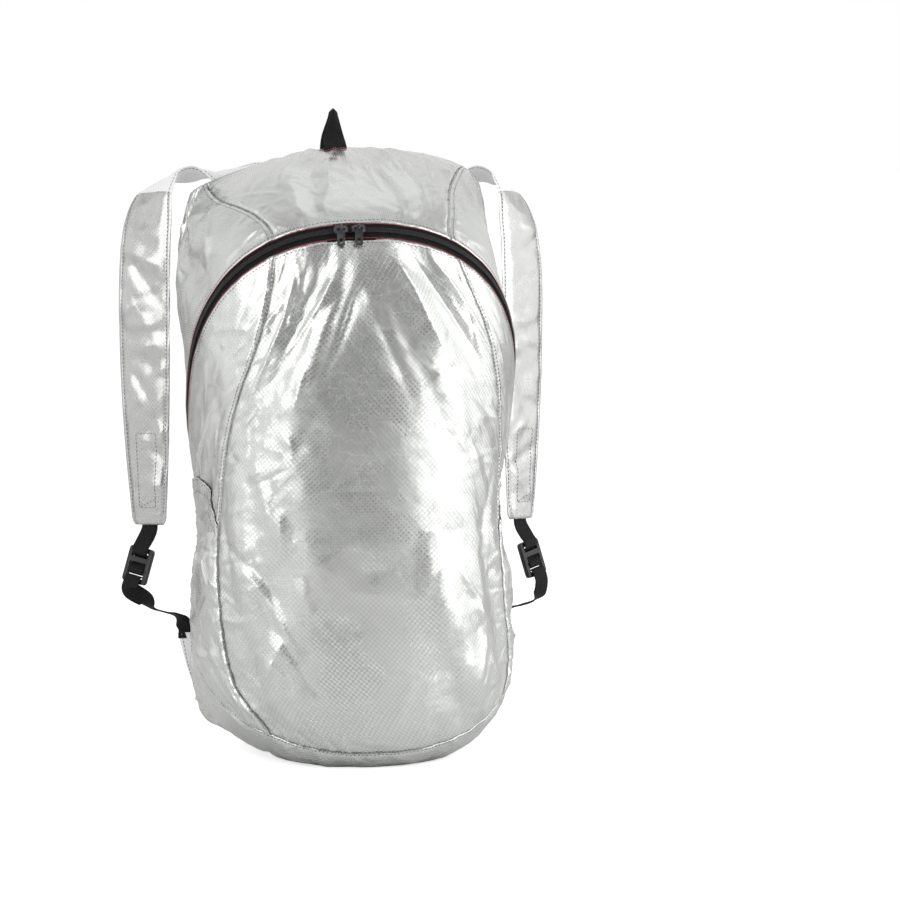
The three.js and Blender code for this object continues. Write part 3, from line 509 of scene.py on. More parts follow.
    def outward(self, across: np.ndarray, along: np.ndarray) -> np.ndarray:
        """The unit direction out of the form; on the rim it stays in the plane of the back."""
        right, up = self.directions(across, along)
        normal = np.cross(right, up)
        rim = np.minimum(np.minimum(1 - np.abs(across), along), 1 - along)
        normal[..., 1] = np.where(rim < 1e-4, 0.0, unit(normal)[..., 1] * np.linalg.norm(normal, axis=-1))
        return unit(normal)

    def main_folds(self, across: np.ndarray, along: np.ndarray) -> np.ndarray:
        """The frame's own folds: (1 - d^2)^2 across a fold, and part of a sine along it."""
        height = np.zeros(np.broadcast(across, along).shape)
        for x0, y0, x1, y1, tall, wide in MAIN_FOLDS:
            run = np.array([x1 - x0, y1 - y0])
            here = np.stack(np.broadcast_arrays(across - x0, along - y0), axis=-1)
            share = np.clip(here @ run / (run @ run), 0.0, 1.0)
            away = np.linalg.norm(here - share[..., None] * run, axis=-1) / wide
            swell = np.sin(np.pi * (0.15 + 0.7 * share))
            height += tall * np.clip(1 - away**2, 0.0, 1.0) ** 2 * swell
        inside = np.minimum(np.minimum(1 - np.abs(across), along / 0.6), (1 - along) * 2)
        fade = np.clip(inside / 0.08, 0, 1) * np.clip(np.abs(along - ZIP_LINE) / 0.035, 0, 1)
        return FOLD_HEIGHT * height * fade

    def calm(self, across: np.ndarray, along: np.ndarray) -> np.ndarray:
        """How far fine folds may stand: nothing on the rim, at the zip and under the pulls, 1 elsewhere."""
        rim = np.minimum(np.minimum(1 - np.abs(across), along * 2.0), (1 - along) * 2.5)
        at_zip = 0.12 + 0.88 * smoothstep(0.008, 0.032, np.abs(along - ZIP_LINE))
        column = 1 - smoothstep(0.1, 0.26, np.abs(across - 0.02))
        reach = smoothstep(0.3, 0.36, along) * (1 - smoothstep(0.62, 0.72, along))
        return smoothstep(0.0, self.rim_fade, rim) * at_zip * self.clear_of_pulls(across, along) * (
            1 - 0.6 * column * reach)

    def clear_of_pulls(self, across: np.ndarray, along: np.ndarray) -> np.ndarray:
        """0 under the two hanging zip pulls and 1 well away from them."""
        away = np.linalg.norm(flat_map(across, along) - np.array(PULLS_ON_MAP), axis=-1)
        return smoothstep(PULLS_CLEAR, PULLS_FADE, away)

    def held(self, flat: np.ndarray) -> np.ndarray:
        """The share of the fine folds that is left near a seam, whose thread holds the cloth down."""
        away = np.abs(np.abs(flat[..., 0]) - LONG_SEAM * FLAT_SCALE[0])
        away = np.minimum(away, np.abs(flat[..., 1] - BOTTOM_SEAM * FLAT_SCALE[1]))
        return 0.3 + 0.7 * smoothstep(0.0, 11 * MM, away)

    def seam_dip(self, across: np.ndarray, along: np.ndarray) -> np.ndarray:
        """How far every seam draws the cloth in: a narrow bell curve of its distance."""
        flat = flat_map(across, along)
        depth = np.zeros(flat.shape[:-1])
        for seam in (-LONG_SEAM, LONG_SEAM):
            depth -= 1.5 * MM * np.exp(-(((flat[..., 0] - seam * FLAT_SCALE[0]) / (3.6 * MM)) ** 2))
        low = (flat[..., 1] - BOTTOM_SEAM * FLAT_SCALE[1]) / (3.6 * MM)
        return depth - 1.5 * MM * np.exp(-(low**2))

    def relief(self, across: np.ndarray, along: np.ndarray) -> np.ndarray:
        """All folds, puckers, facets and seam dips together, as a height out of the smooth form."""
        flat = flat_map(across, along)
        fine = self.creases.relief(flat) + sum(f.relief(flat) for f in self.facets)
        calm = self.calm(across, along)
        return self.main_folds(across, along) + calm * (fine * self.held(flat) + self.seam_dip(across, along))

    def point(self, across: np.ndarray, along: np.ndarray, lift: np.ndarray | float) -> np.ndarray:
        """Points of the folded cloth lifted outwards; the underside is flat where the bag stands on it."""
        across, along = np.broadcast_arrays(np.asarray(across, float), np.asarray(along, float))
        height = self.relief(across, along) + lift
        points = self.smooth(across, along) + self.outward(across, along) * height[..., None]
        points[..., 2] = np.maximum(points[..., 2], 0.0)
        return points

    def step_along(self, across: np.ndarray, along: np.ndarray, length: float) -> np.ndarray:
        """What a length square to the line is as a step of along."""
        right, up = self.directions(across, along)
        right = unit(right)
        square = up - (up * right).sum(-1, keepdims=True) * right
        return length / np.linalg.norm(square, axis=-1)

    def edge_point(self, side: Side, height: float) -> np.ndarray:
        """The place on the back's left or right edge at a height, a share of BAG_HEIGHT."""
        spread = np.linspace(0.0, 1.0, 4001)
        along = float(np.interp(height, SECTIONS.follow("edge", spread), spread))
        return self.smooth(np.array(float(side.value)), np.array(along))


@dataclass
class Surface:
    """A grid of cloth points with its normals and its flat coordinates, measured on the cloth before its folds."""

    points: np.ndarray
    unfolded: np.ndarray
    upright: bool = False
    normals: np.ndarray = field(init=False)
    flat: np.ndarray = field(init=False)

    def __post_init__(self) -> None:
        """Normals are the cross product of the grid's two slopes; flat coordinates are lengths along it.

        On an upright panel the length along is read from its middle column at the same height, so that the
        threads of the cloth stay level.
        """
        down = np.gradient(self.points, axis=0)
        over = np.gradient(self.points, axis=1)
        self.normals = unit(np.cross(over, down))
        across = np.linalg.norm(np.diff(self.unfolded, axis=1), axis=-1)
        along = np.linalg.norm(np.diff(self.unfolded, axis=0), axis=-1)
        u = np.concatenate([np.zeros((across.shape[0], 1)), np.cumsum(across, axis=1)], axis=1)
        v = np.concatenate([np.zeros((1, along.shape[1])), np.cumsum(along, axis=0)], axis=0)
        if self.upright:
            height, middle = self.unfolded[..., 2], self.unfolded.shape[1] // 2
            rise = np.gradient(v[:, middle], height[:, middle])
            v = np.interp(height, height[:, middle], v[:, middle])
            v += np.clip(height - height[-1, middle], 0, None) * rise[-1]
            v += np.clip(height - height[0, middle], None, 0) * rise[0]
        self.flat = np.stack([u - u[:, -1:] / 2, v], axis=-1)

    @property
    def area(self) -> float:
        """The grid's area in square metres."""
        diagonal = self.points[1:, 1:] - self.points[:-1, :-1]
        other = self.points[1:, :-1] - self.points[:-1, 1:]
        return float(np.linalg.norm(np.cross(diagonal, other), axis=-1).sum() / 2)

    @property
    def cut(self) -> tuple[float, float]:
        """The width and length of the flat cut that this cloth needs."""
        length = np.linalg.norm(np.diff(self.unfolded, axis=0), axis=-1).sum(axis=0).max()
        return float(np.ptp(self.flat[..., 0], axis=1).max()), float(length)

    def read(self, row: np.ndarray, column: np.ndarray) -> tuple[np.ndarray, np.ndarray]:
        """Points and normals at fractional rows and columns, weighted from the four corners around."""
        rows, columns = self.points.shape[:2]
        row, column = np.clip(row, 0, rows - 1.001), np.clip(column, 0, columns - 1.001)
        i, j = row.astype(int), column.astype(int)
        a, b = (row - i)[:, None], (column - j)[:, None]

        def blend(grid: np.ndarray) -> np.ndarray:
            """One grid's values there."""
            low = grid[i, j] * (1 - b) + grid[i, j + 1] * b
            high = grid[i + 1, j] * (1 - b) + grid[i + 1, j + 1] * b
            return low * (1 - a) + high * a

        return blend(self.points), unit(blend(self.normals))

    def inset(self, edge: Edge, distance: float) -> tuple[np.ndarray, np.ndarray]:
        """A line that keeps a distance from one edge.

        Args:
            edge: the edge.
            distance: how far inside it, in metres.

        Returns:
            The line's points and normals.
        """
        rows, columns = self.points.shape[:2]
        upright = edge in (Edge.LEFT, Edge.RIGHT)
        first = 0 if edge in (Edge.LEFT, Edge.LOW) else -1
        grid = self.points if upright else self.points.transpose(1, 0, 2)
        near = grid[:, :5] if first == 0 else grid[:, -5:]
        step = np.linalg.norm(np.diff(near, axis=1), axis=-1).mean(axis=1)
        steps = distance / np.maximum(step, 1e-6)
        count = columns if upright else rows
        place = steps if first == 0 else count - 1 - steps
        other = np.arange(len(place), dtype=float)
        return self.read(other, place) if upright else self.read(place, other)


def grid_faces(rows: int, columns: int, closed: bool = False) -> np.ndarray:
    """The quads of a grid of points, or of a tube of rings where the last column joins the first."""
    i = np.arange(rows - 1)[:, None]
    j = np.arange(columns if closed else columns - 1)[None, :]
    k = (j + 1) % columns
    corners = np.broadcast_arrays(i * columns + j, i * columns + k, (i + 1) * columns + k, (i + 1) * columns + j)
    return np.stack(corners, axis=-1).reshape(-1, 4)


def mesh_object(name: str, points: np.ndarray, faces: list, material: bpy.types.Material,
                flat: np.ndarray | None = None) -> bpy.types.Object:
    """A smooth-shaded object at the origin from points and faces.

    Args:
        name: the piece's name.
        points: its points, with a last axis of three.
        faces: lists or arrays of point numbers.
        material: its only material.
        flat: each point's flat coordinates in metres, for the UV map named cloth.

    Returns:
        The new object.
    """
    mesh = bpy.data.meshes.new(name)
    mesh.from_pydata(points.reshape(-1, 3).tolist(), [], [list(map(int, f)) for f in faces])
    mesh.materials.append(material)
    mesh.polygons.foreach_set("use_smooth", np.ones(len(mesh.polygons), bool))
    if flat is not None:
        layer = mesh.uv_layers.new(name="cloth")
        corner = np.zeros(len(mesh.loops), np.int32)
        mesh.loops.foreach_get("vertex_index", corner)
        layer.data.foreach_set("uv", flat.reshape(-1, 2)[corner].astype(np.float32).ravel())
    mesh.update()
    piece = bpy.data.objects.new(name, mesh)
    bpy.context.scene.collection.objects.link(piece)
    return piece


def cloth_object(name: str, surface: Surface, material: bpy.types.Material, thickness: float = CLOTH,
                 flipped: bool = False) -> bpy.types.Object:
    """A wall of cloth whose outer face is a surface; the thickness goes inwards."""
    rows, columns = surface.points.shape[:2]
    faces = grid_faces(rows, columns)
    if flipped:
        faces = faces[:, ::-1]
    piece = mesh_object(name, surface.points, faces, material, surface.flat)
    wall = piece.modifiers.new("wall", "SOLIDIFY")
    wall.thickness, wall.offset, wall.use_rim = thickness, -1.0, True
    return piece


def volume_of(points: np.ndarray, quads: np.ndarray) -> float:
    """Six times the signed volume inside a closed tube's quads, which tells which way they face."""
    corners = points.reshape(-1, 3)[quads]
    return float((corners[:, 0] * np.cross(corners[:, 1], corners[:, 2])).sum()
                 + (corners[:, 0] * np.cross(corners[:, 2], corners[:, 3])).sum())


def tube_object(name: str, rings: np.ndarray, material: bpy.types.Material,
                flat: np.ndarray | None = None) -> bpy.types.Object:
    """A closed solid from a row of rings, with its two ends filled and its faces turned outwards.

    Args:
        name: the piece's name.
        rings: points shaped (stations, points in a ring, 3).
        material: its material.
        flat: each point's flat coordinates; without them they run round and along it.

    Returns:
        The new object.
    """
    stations, count = rings.shape[:2]
    quads = grid_faces(stations, count, closed=True)
    first, last = list(range(count)), list(range((stations - 1) * count, stations * count))
    centre = rings.reshape(-1, 3).mean(axis=0)
    if volume_of(rings - centre, quads) < 0:
        quads, ends = quads[:, ::-1], [first, last[::-1]]
    else:
        ends = [first[::-1], last]
    if flat is None:
        round_it = np.linalg.norm(np.diff(rings, axis=1, append=rings[:, :1]), axis=-1).cumsum(axis=1)
        along = np.linalg.norm(np.diff(rings.mean(axis=1), axis=0), axis=-1).cumsum()
        flat = np.stack(np.broadcast_arrays(round_it, np.concatenate([[0.0], along])[:, None]), axis=-1)
    return mesh_object(name, rings, [*quads, *ends], material, flat)


def centripetal(points: np.ndarray, share: np.ndarray) -> np.ndarray:
    """The frame's own curve through points: a Catmull-Rom spline whose knots lie the root of a chord apart.

    Args:
        points: the points it goes through.
        share: where to read it, from 0 to 1, each span an equal share.

    Returns:
        Points of the curve.
    """
    count = len(points)
    padded = np.vstack([2 * points[:1] - points[1:2], points, 2 * points[-1:] - points[-2:-1]])
    place = np.clip(share, 0, 1) * (count - 1)
    i = np.clip(place.astype(int), 0, count - 2)
    t = (place - i)[:, None]
    p0, p1, p2, p3 = (padded[i + k] for k in range(4))

    def gap(a: np.ndarray, b: np.ndarray) -> np.ndarray:
        """The root of the distance between two rows of points."""
        return np.sqrt(np.linalg.norm(b - a, axis=-1, keepdims=True))

    d0, d1, d2 = gap(p0, p1), gap(p1, p2), gap(p2, p3)
    d1 = np.where(d1 < 1e-6, 1.0, d1)
    d0, d2 = np.where(d0 < 1e-6, d1, d0), np.where(d2 < 1e-6, d1, d2)
    m1 = ((p1 - p0) / d0 - (p2 - p0) / (d0 + d1) + (p2 - p1) / d1) * d1
    m2 = ((p2 - p1) / d1 - (p3 - p1) / (d1 + d2) + (p3 - p2) / d2) * d1
    return p1 + m1 * t + (3 * (p2 - p1) - 2 * m1 - m2) * t**2 + (2 * (p1 - p2) + m1 + m2) * t**3


@dataclass
class Route:
    """A ribbon's stations: where it goes, the way its face looks and how wide it is."""

    places: np.ndarray
    faces: np.ndarray
    widths: np.ndarray

    def frames(self, count: int) -> tuple[np.ndarray, np.ndarray, np.ndarray, np.ndarray]:
        """Smooth stations along the route.

        Args:
            count: how many.

        Returns:
            Places, side directions, face directions and half widths.
        """
        share = np.linspace(0.0, 1.0, count)
        places = centripetal(self.places, share)
        run = unit(centripetal(self.places, np.clip(share + 1e-4, 0, 1))
                   - centripetal(self.places, np.clip(share - 1e-4, 0, 1)))
        face = centripetal(self.faces, share)
        face = unit(face - (face * run).sum(-1, keepdims=True) * run)
        knots = np.linspace(0.0, 1.0, len(self.widths))
        table = Table(("at", "wide"), tuple(zip(knots.tolist(), self.widths.tolist())))
        return places, np.cross(face, run), face, table.follow("wide", share) / 2


def webbing_rings(route: Route, thickness: float, count: int, fold: float = 0.0) -> np.ndarray:
    """Rings of flat webbing with rounded edges; fold bends it along its middle where it is drawn narrow.

    The cross-section is a superellipse of power 5 across and 2 through, and fold lifts its middle by that share
    of what it has lost of its full width.
    """
    places, sides, faces, half = route.frames(count)
    angle = np.linspace(0, 2 * np.pi, 28, endpoint=False)
    across = signed_power(np.cos(angle), 0.4)
    through = signed_power(np.sin(angle), 0.55)
    lost = half.max() - half
    crown = fold * lost[:, None] * (1 - np.abs(across)[None, :])
    rings = places[:, None] + sides[:, None] * (across[None, :] * half[:, None])[..., None]
    return rings + faces[:, None] * (through[None, :] * thickness / 2 + crown)[..., None]


class Graph:
    """A material's node tree with one principled shader, built with short calls."""

    def __init__(self, name: str) -> None:
        """Starts the tree with its shader and output joined."""
        self.material = bpy.data.materials.new(name)
        self.material.use_nodes = True
        self.tree = self.material.node_tree
        self.tree.nodes.clear()
        self.shader = self.tree.nodes.new("ShaderNodeBsdfPrincipled")
        output = self.tree.nodes.new("ShaderNodeOutputMaterial")
        self.tree.links.new(self.shader.outputs[0], output.inputs[0])

    def node(self, kind: str, inputs: dict, **settings: object) -> bpy.types.Node:
        """A node of a kind, with its settings and its inputs, each a value or another node's socket."""
        made = self.tree.nodes.new(f"ShaderNode{kind}")
        for name, value in settings.items():
            setattr(made, name, value)
        for key, value in inputs.items():
            if isinstance(value, bpy.types.NodeSocket):
                self.tree.links.new(value, made.inputs[key])
            else:
                made.inputs[key].default_value = value
        return made

    def place(self) -> bpy.types.NodeSocket:
        """Object coordinates, in metres."""
        return self.node("TexCoord", {}).outputs["Object"]

    def cloth(self, turn: float = 0.0, scale: float = 1.0) -> bpy.types.NodeSocket:
        """The piece's flat coordinates, turned by degrees and scaled."""
        flat = self.node("UVMap", {}, uv_map="cloth").outputs[0]
        return self.node("Mapping", {"Vector": flat, "Rotation": (0.0, 0.0, math.radians(turn)),
                                     "Scale": (scale, scale, scale)}).outputs[0]

    def maths(self, operation: str, a: object, b: object = 0.0) -> bpy.types.NodeSocket:
        """The result of one sum."""
        return self.node("Math", {0: a, 1: b}, operation=operation).outputs[0]

    def noise(self, vector: object, scale: float, detail: float = 3.0, rough: float = 0.5,
              kind: str = "FBM") -> bpy.types.NodeSocket:
        """A noise texture's value at a number of cells to the metre."""
        return self.node("TexNoise", {"Vector": vector, "Scale": scale, "Detail": detail, "Roughness": rough},
                         noise_type=kind, normalize=True).outputs[0]

    def ramp(self, value: object, low: float, high: float, to_low: float, to_high: float) -> bpy.types.NodeSocket:
        """A value's smooth step from one range to another."""
        return self.node("MapRange", {"Value": value, "From Min": low, "From Max": high, "To Min": to_low,
                                      "To Max": to_high}, interpolation_type="SMOOTHSTEP").outputs[0]

    def blend(self, share: object, a: tuple, b: tuple) -> bpy.types.NodeSocket:
        """A mix of two colours."""
        made = self.node("Mix", {0: share}, data_type="RGBA")
        made.inputs[6].default_value, made.inputs[7].default_value = (*a, 1.0), (*b, 1.0)
        return made.outputs[2]

    def bump(self, height: object, distance: float, strength: float, under: object = None) -> bpy.types.NodeSocket:
        """A bumped normal, on top of another where one is given."""
        inputs = {"Height": height, "Distance": distance, "Strength": strength}
        if under is not None:
            inputs["Normal"] = under
        return self.node("Bump", inputs).outputs[0]

    def grid_lines(self, vector: object, width: float) -> bpy.types.NodeSocket:
        """1 on the lines of a square grid with one line to a unit both ways, falling to 0 at a width."""
        axes = self.node("SeparateXYZ", {0: vector})
        lines = [self.ramp(self.maths("PINGPONG", axes.outputs[k], 0.5), 0.0, width, 1.0, 0.0) for k in (0, 1)]
        return self.maths("MAXIMUM", *lines)

    def wear(self, colour: object = None, normal: object = None, rough: object = None,
             **numbers: float) -> bpy.types.Material:
        """Joins what is given to the shader, sets its plain numbers, and returns the material."""
        for name, value in (("Base Color", colour), ("Normal", normal), ("Roughness", rough)):
            if isinstance(value, bpy.types.NodeSocket):
                self.tree.links.new(value, self.shader.inputs[name])
            elif value is not None:
                self.shader.inputs[name].default_value = value
        for name, value in numbers.items():
            self.shader.inputs[name.replace("_", " ").title()].default_value = value
        return self.material


Colour = tuple[float, float, float]


@dataclass(frozen=True)
class Ripstop:
    """Coated silver nylon with thicker threads in a lattice."""

    name: str
    colour: Colour = (0.67, 0.68, 0.66)
    pitch: float = 2.9 * MM
    turn: float = 45.0
    roughness: float = 0.25
    metallic: float = 0.9
    lattice: float = 0.5
    crumple: float = 0.36
    calm_middle: bool = False

    def crackle(self, g: Graph, place: object, cell: float, seed: float) -> bpy.types.NodeSocket:
        """Flat facets with a random tilt each, their edges bent: (place - cell's middle) . (cell's colour - 1/2).

        Args:
            g: the material's tree.
            place: object coordinates.
            cell: a facet's usual width.
            seed: moves the pattern.

        Returns:
            The height in cells.
        """
        bend = g.node("TexNoise", {"Vector": place, "Scale": 0.6 / cell, "Detail": 2.0}, noise_type="FBM")
        bent = g.node("VectorMath", {0: bend.outputs[1], 1: (cell * 1.1,) * 3, 2: place}, operation="MULTIPLY_ADD")
        moved = g.node("VectorMath", {0: bent.outputs[0], 1: (seed, 0.3 * seed, 0.7 * seed)}, operation="ADD")
        cells = g.node("TexVoronoi", {"Vector": moved.outputs[0], "Scale": 1.0 / cell}, feature="F1")
        local = g.node("VectorMath", {0: moved.outputs[0], 1: cells.outputs["Position"]}, operation="SUBTRACT")
        tilt = g.node("VectorMath", {0: cells.outputs["Color"], 1: (0.5, 0.5, 0.5)}, operation="SUBTRACT")
        dot = g.node("VectorMath", {0: local.outputs[0], 1: tilt.outputs[0]}, operation="DOT_PRODUCT")
        return g.maths("MULTIPLY", dot.outputs["Value"], 1.0 / cell)

    def make(self) -> bpy.types.Material:
        """Lattice lines are darker and stand up; crackled facets and ridges crumple the cloth between them."""
        g = Graph(self.name)
        lines = g.grid_lines(g.cloth(self.turn, 1.0 / self.pitch), 0.17)
        place = g.place()
        slow = g.noise(place, 14.0, 3.0, 0.55)
        ridges = g.noise(place, 60.0, 5.0, 0.55, "RIDGED_MULTIFRACTAL")
        weave = g.noise(g.cloth(0.0, 1.0), 2600.0, 1.0, 0.5)
        share = g.ramp(slow, 0.36, 0.6, 0.25, 1.0)
        if self.calm_middle:
            axes = g.node("SeparateXYZ", {0: place})
            away = g.maths("ABSOLUTE", g.maths("SUBTRACT", axes.outputs[0], 0.004))
            share = g.maths("MULTIPLY", share, g.ramp(away, 0.02, 0.06, 0.25, 1.0))
        facets = g.maths("ADD", self.crackle(g, place, 19 * MM, 1.3),
                         g.maths("MULTIPLY", self.crackle(g, place, 7.5 * MM, 2.1), 0.3))
        height = g.maths("MULTIPLY", g.maths("ADD", facets, g.maths("MULTIPLY", ridges, 0.09)), share)
        darker = tuple(c * 0.7 for c in self.colour)
        shade = g.maths("MULTIPLY", lines, 0.9 * self.lattice)
        colour = g.blend(g.maths("ADD", shade, g.ramp(slow, 0.35, 0.65, 0.12, 0.0)), self.colour, darker)
        rough = g.maths("ADD", g.maths("MULTIPLY", lines, 0.18 * self.lattice),
                        g.ramp(slow, 0.3, 0.7, self.roughness - 0.03, self.roughness + 0.05))
        bumped = g.bump(height, 6.5 * MM, self.crumple)
        bumped = g.bump(lines, 0.07 * MM, self.lattice, bumped)
        bumped = g.bump(weave, 0.03 * MM, 0.35, bumped)
        return g.wear(colour, bumped, rough, metallic=self.metallic)


@dataclass(frozen=True)
class Woven:
    """Tightly woven polyester: webbing and zip tape."""

    name: str
    colour: Colour
    pitch: float = 1.3 * MM
    turn: float = 0.0
    roughness: float = 0.62

    def make(self) -> bpy.types.Material:
        """Ribs across the width and warp threads along it, both as bump, with threads of uneven colour."""
        g = Graph(self.name)
        axes = g.node("SeparateXYZ", {0: g.cloth(self.turn, 1.0 / self.pitch)})
        ribs = g.maths("PINGPONG", axes.outputs[1], 0.5)
        warp = g.maths("PINGPONG", g.maths("MULTIPLY", axes.outputs[0], 2.2), 0.5)
        weave = g.maths("ADD", ribs, g.maths("MULTIPLY", warp, 0.6))
        uneven = g.noise(g.place(), 420.0, 3.0, 0.6)
        lighter = tuple(min(c * 2.1 + 0.004, 1.0) for c in self.colour)
        colour = g.blend(g.ramp(g.maths("MULTIPLY", weave, uneven), 0.1, 0.55, 0.0, 1.0), self.colour, lighter)
        rough = g.ramp(uneven, 0.3, 0.7, self.roughness - 0.06, self.roughness + 0.08)
        g.shader.inputs["Specular IOR Level"].default_value = 0.2
        return g.wear(colour, g.bump(weave, 0.35 * MM, 0.7), rough, sheen_weight=0.02)


@dataclass(frozen=True)
class Moulded:
    """A moulded or cast surface with fine grain and a few scuffs."""

    name: str
    colour: Colour
    roughness: float = 0.38
    metallic: float = 0.0
    grain: float = 900.0

    def make(self) -> bpy.types.Material:
        """Fine grain as bump, and slow noise that dulls and lightens the surface in patches."""
        g = Graph(self.name)
        place = g.place()
        grain = g.noise(place, self.grain, 2.0, 0.5)
        scuffs = g.noise(place, 130.0, 5.0, 0.65)
        lighter = tuple(min(c * 1.5 + 0.005, 1.0) for c in self.colour)
        colour = g.blend(g.ramp(scuffs, 0.5, 0.75, 0.0, 1.0), self.colour, lighter)
        rough = g.ramp(scuffs, 0.3, 0.75, self.roughness - 0.06, self.roughness + 0.14)
        return g.wear(colour, g.bump(grain, 0.05 * MM, 0.4), rough, metallic=self.metallic)


@dataclass(frozen=True)
class Thread:
    """Sewing thread."""

    name: str
    colour: Colour

    def make(self) -> bpy.types.Material:
        """Uneven along its length, with a soft twist as bump."""
        g = Graph(self.name)
        place = g.place()
        uneven = g.noise(place, 700.0, 2.0, 0.6)
        darker = tuple(c * 0.6 for c in self.colour)
        return g.wear(g.blend(uneven, darker, self.colour), g.bump(uneven, 0.1 * MM, 0.5), 0.5, sheen_weight=0.2)


@dataclass
class Finishes:
    """Every material of the pack, made once."""

    front: bpy.types.Material = field(init=False)
    plain: bpy.types.Material = field(init=False)
    shoulder: bpy.types.Material = field(init=False)
    strap: bpy.types.Material = field(init=False)
    pale: bpy.types.Material = field(init=False)
    tape: bpy.types.Material = field(init=False)
    coil: bpy.types.Material = field(init=False)
    webbing: bpy.types.Material = field(init=False)
    lock: bpy.types.Material = field(init=False)
    metal: bpy.types.Material = field(init=False)
    grey_thread: bpy.types.Material = field(init=False)
    red_thread: bpy.types.Material = field(init=False)
    black_thread: bpy.types.Material = field(init=False)

    def __post_init__(self) -> None:
        """Makes the materials."""
        self.front = Ripstop("ripstop_diamond", lattice=0.8, calm_middle=True).make()
        self.plain = Ripstop("ripstop_side", lattice=0.55).make()
        self.shoulder = Ripstop("ripstop_square", pitch=1.6 * MM, turn=0.0, lattice=0.4, crumple=0.22).make()
        self.strap = Ripstop("ripstop_strap", colour=(0.52, 0.52, 0.515), pitch=2.4 * MM,
                             roughness=0.24, lattice=0.3, crumple=0.3).make()
        self.pale = Ripstop("ripstop_pale", colour=(0.88, 0.88, 0.89), metallic=0.1, roughness=0.5,
                            lattice=0.35, crumple=0.3).make()
        self.tape = Woven("zip_tape_weave", (0.006, 0.005, 0.006), 0.9 * MM, 30.0, 0.75).make()
        self.coil = Moulded("coil_nylon", (0.006, 0.009, 0.008), 0.33).make()
        self.webbing = Woven("black_webbing", (0.005, 0.005, 0.0055), 1.4 * MM, 0.0, 0.7).make()
        self.lock = Moulded("black_acetal", (0.005, 0.005, 0.0055), 0.35).make()
        self.metal = Moulded("gunmetal", (0.09, 0.09, 0.095), 0.3, 0.9, 1400.0).make()
        self.grey_thread = Thread("grey_thread", (0.19, 0.19, 0.19)).make()
        self.red_thread = Thread("dark_red_thread", (0.24, 0.012, 0.022)).make()
        self.black_thread = Thread("black_thread", (0.02, 0.02, 0.022)).make()


@dataclass
class Needle:
    """Sews lines of stitches and keeps them until they are made into one piece."""

    length: float = 2.3 * MM
    pitch: float = 3.1 * MM
    radius: float = 0.27 * MM
    sink: float = 0.05 * MM
    lines: list[np.ndarray] = field(default_factory=list)

    def sew(self, line: np.ndarray, normals: np.ndarray) -> None:
        """Lays stitches at even spaces along a line of points, each a small lozenge with blunt ends.

        Args:
            line: the points that the stitches follow.
            normals: the cloth's normals there.
        """
        run = np.concatenate([[0.0], np.linalg.norm(np.diff(line, axis=0), axis=-1).cumsum()])
        count = int(run[-1] / self.pitch)
        if count < 1:
            return
        place = (np.arange(count) + 0.5) * run[-1] / count
        ends = [np.stack([np.interp(place + s, run, line[:, k]) for k in range(3)], -1)
                for s in (-self.length / 2, self.length / 2)]
        out = unit(np.stack([np.interp(place, run, normals[:, k]) for k in range(3)], -1))
        middle, half = (ends[0] + ends[1]) / 2, (ends[1] - ends[0]) / 2
        side = unit(np.cross(out, half))
        angle = np.linspace(0, 2 * np.pi, 6, endpoint=False)
        ring = side[:, None] * np.cos(angle)[None, :, None] + out[:, None] * np.sin(angle)[None, :, None] * 0.8
        lift = out * (self.radius * 0.5 - self.sink)
        rows = [(middle + lift - half)[:, None], (middle + lift - half * 0.6)[:, None] + ring * self.radius,
                (middle + lift * 1.2)[:, None] + ring * self.radius,
                (middle + lift + half * 0.6)[:, None] + ring * self.radius, (middle + lift + half)[:, None]]
        self.lines.append(np.concatenate(rows, axis=1))

    def piece(self, name: str, material: bpy.types.Material) -> bpy.types.Object:
        """One object of all the stitches sewn so far."""
        stitches = np.concatenate(self.lines)
        k = np.arange(6)
        n = (k + 1) % 6
        caps = [np.stack([np.zeros(6, int), 1 + n, 1 + k], -1), np.stack([np.full(6, 19), 13 + k, 13 + n], -1)]
        walls = [np.stack([a + k, a + n, a + 6 + n, a + 6 + k], -1) for a in (1, 7)]
        base = (np.arange(len(stitches)) * 20)[:, None, None]
        faces = [f for part in (*caps, *walls) for f in (part[None] + base).reshape(-1, part.shape[-1])]
        piece = mesh_object(name, stitches, faces, material)
        turn_outwards(piece)
        return piece


def turn_outwards(piece: bpy.types.Object) -> None:
    """Turns every face of a closed mesh to look out of it."""
    mesh = bmesh.new()
    mesh.from_mesh(piece.data)
    bmesh.ops.recalc_face_normals(mesh, faces=mesh.faces)
    mesh.to_mesh(piece.data)
    mesh.free()


@dataclass
class Hardware:
    """A hard node rebuilt with rounded edges."""

    frame: dict
    bevel: float
    segments: int = 3

    def dress(self, node: str, material: bpy.types.Material) -> bpy.types.Object:
        """A copy of the node with its doubled points merged, its flat faces joined and its edges rounded.

        Args:
            node: the node's name.
            material: what it wears.

        Returns:
            The new object.
        """
        mesh = bpy.data.meshes.new(f"rounded_{node}")
        work = bmesh.new()
        work.from_mesh(self.frame["nodes"][node].data)
        bmesh.ops.remove_doubles(work, verts=work.verts, dist=2e-6)
        bmesh.ops.dissolve_limit(work, angle_limit=math.radians(2.0), verts=work.verts, edges=work.edges)
        work.to_mesh(mesh)
        work.free()
        mesh.materials.clear()
        mesh.materials.append(material)
        mesh.polygons.foreach_set("use_smooth", np.ones(len(mesh.polygons), bool))
        piece = bpy.data.objects.new(f"rounded_{node}", mesh)
        bpy.context.scene.collection.objects.link(piece)
        edge = piece.modifiers.new("rounded", "BEVEL")
        edge.width, edge.segments, edge.limit_method = self.bevel, self.segments, "ANGLE"
        edge.angle_limit, edge.harden_normals = math.radians(35), True
        return piece


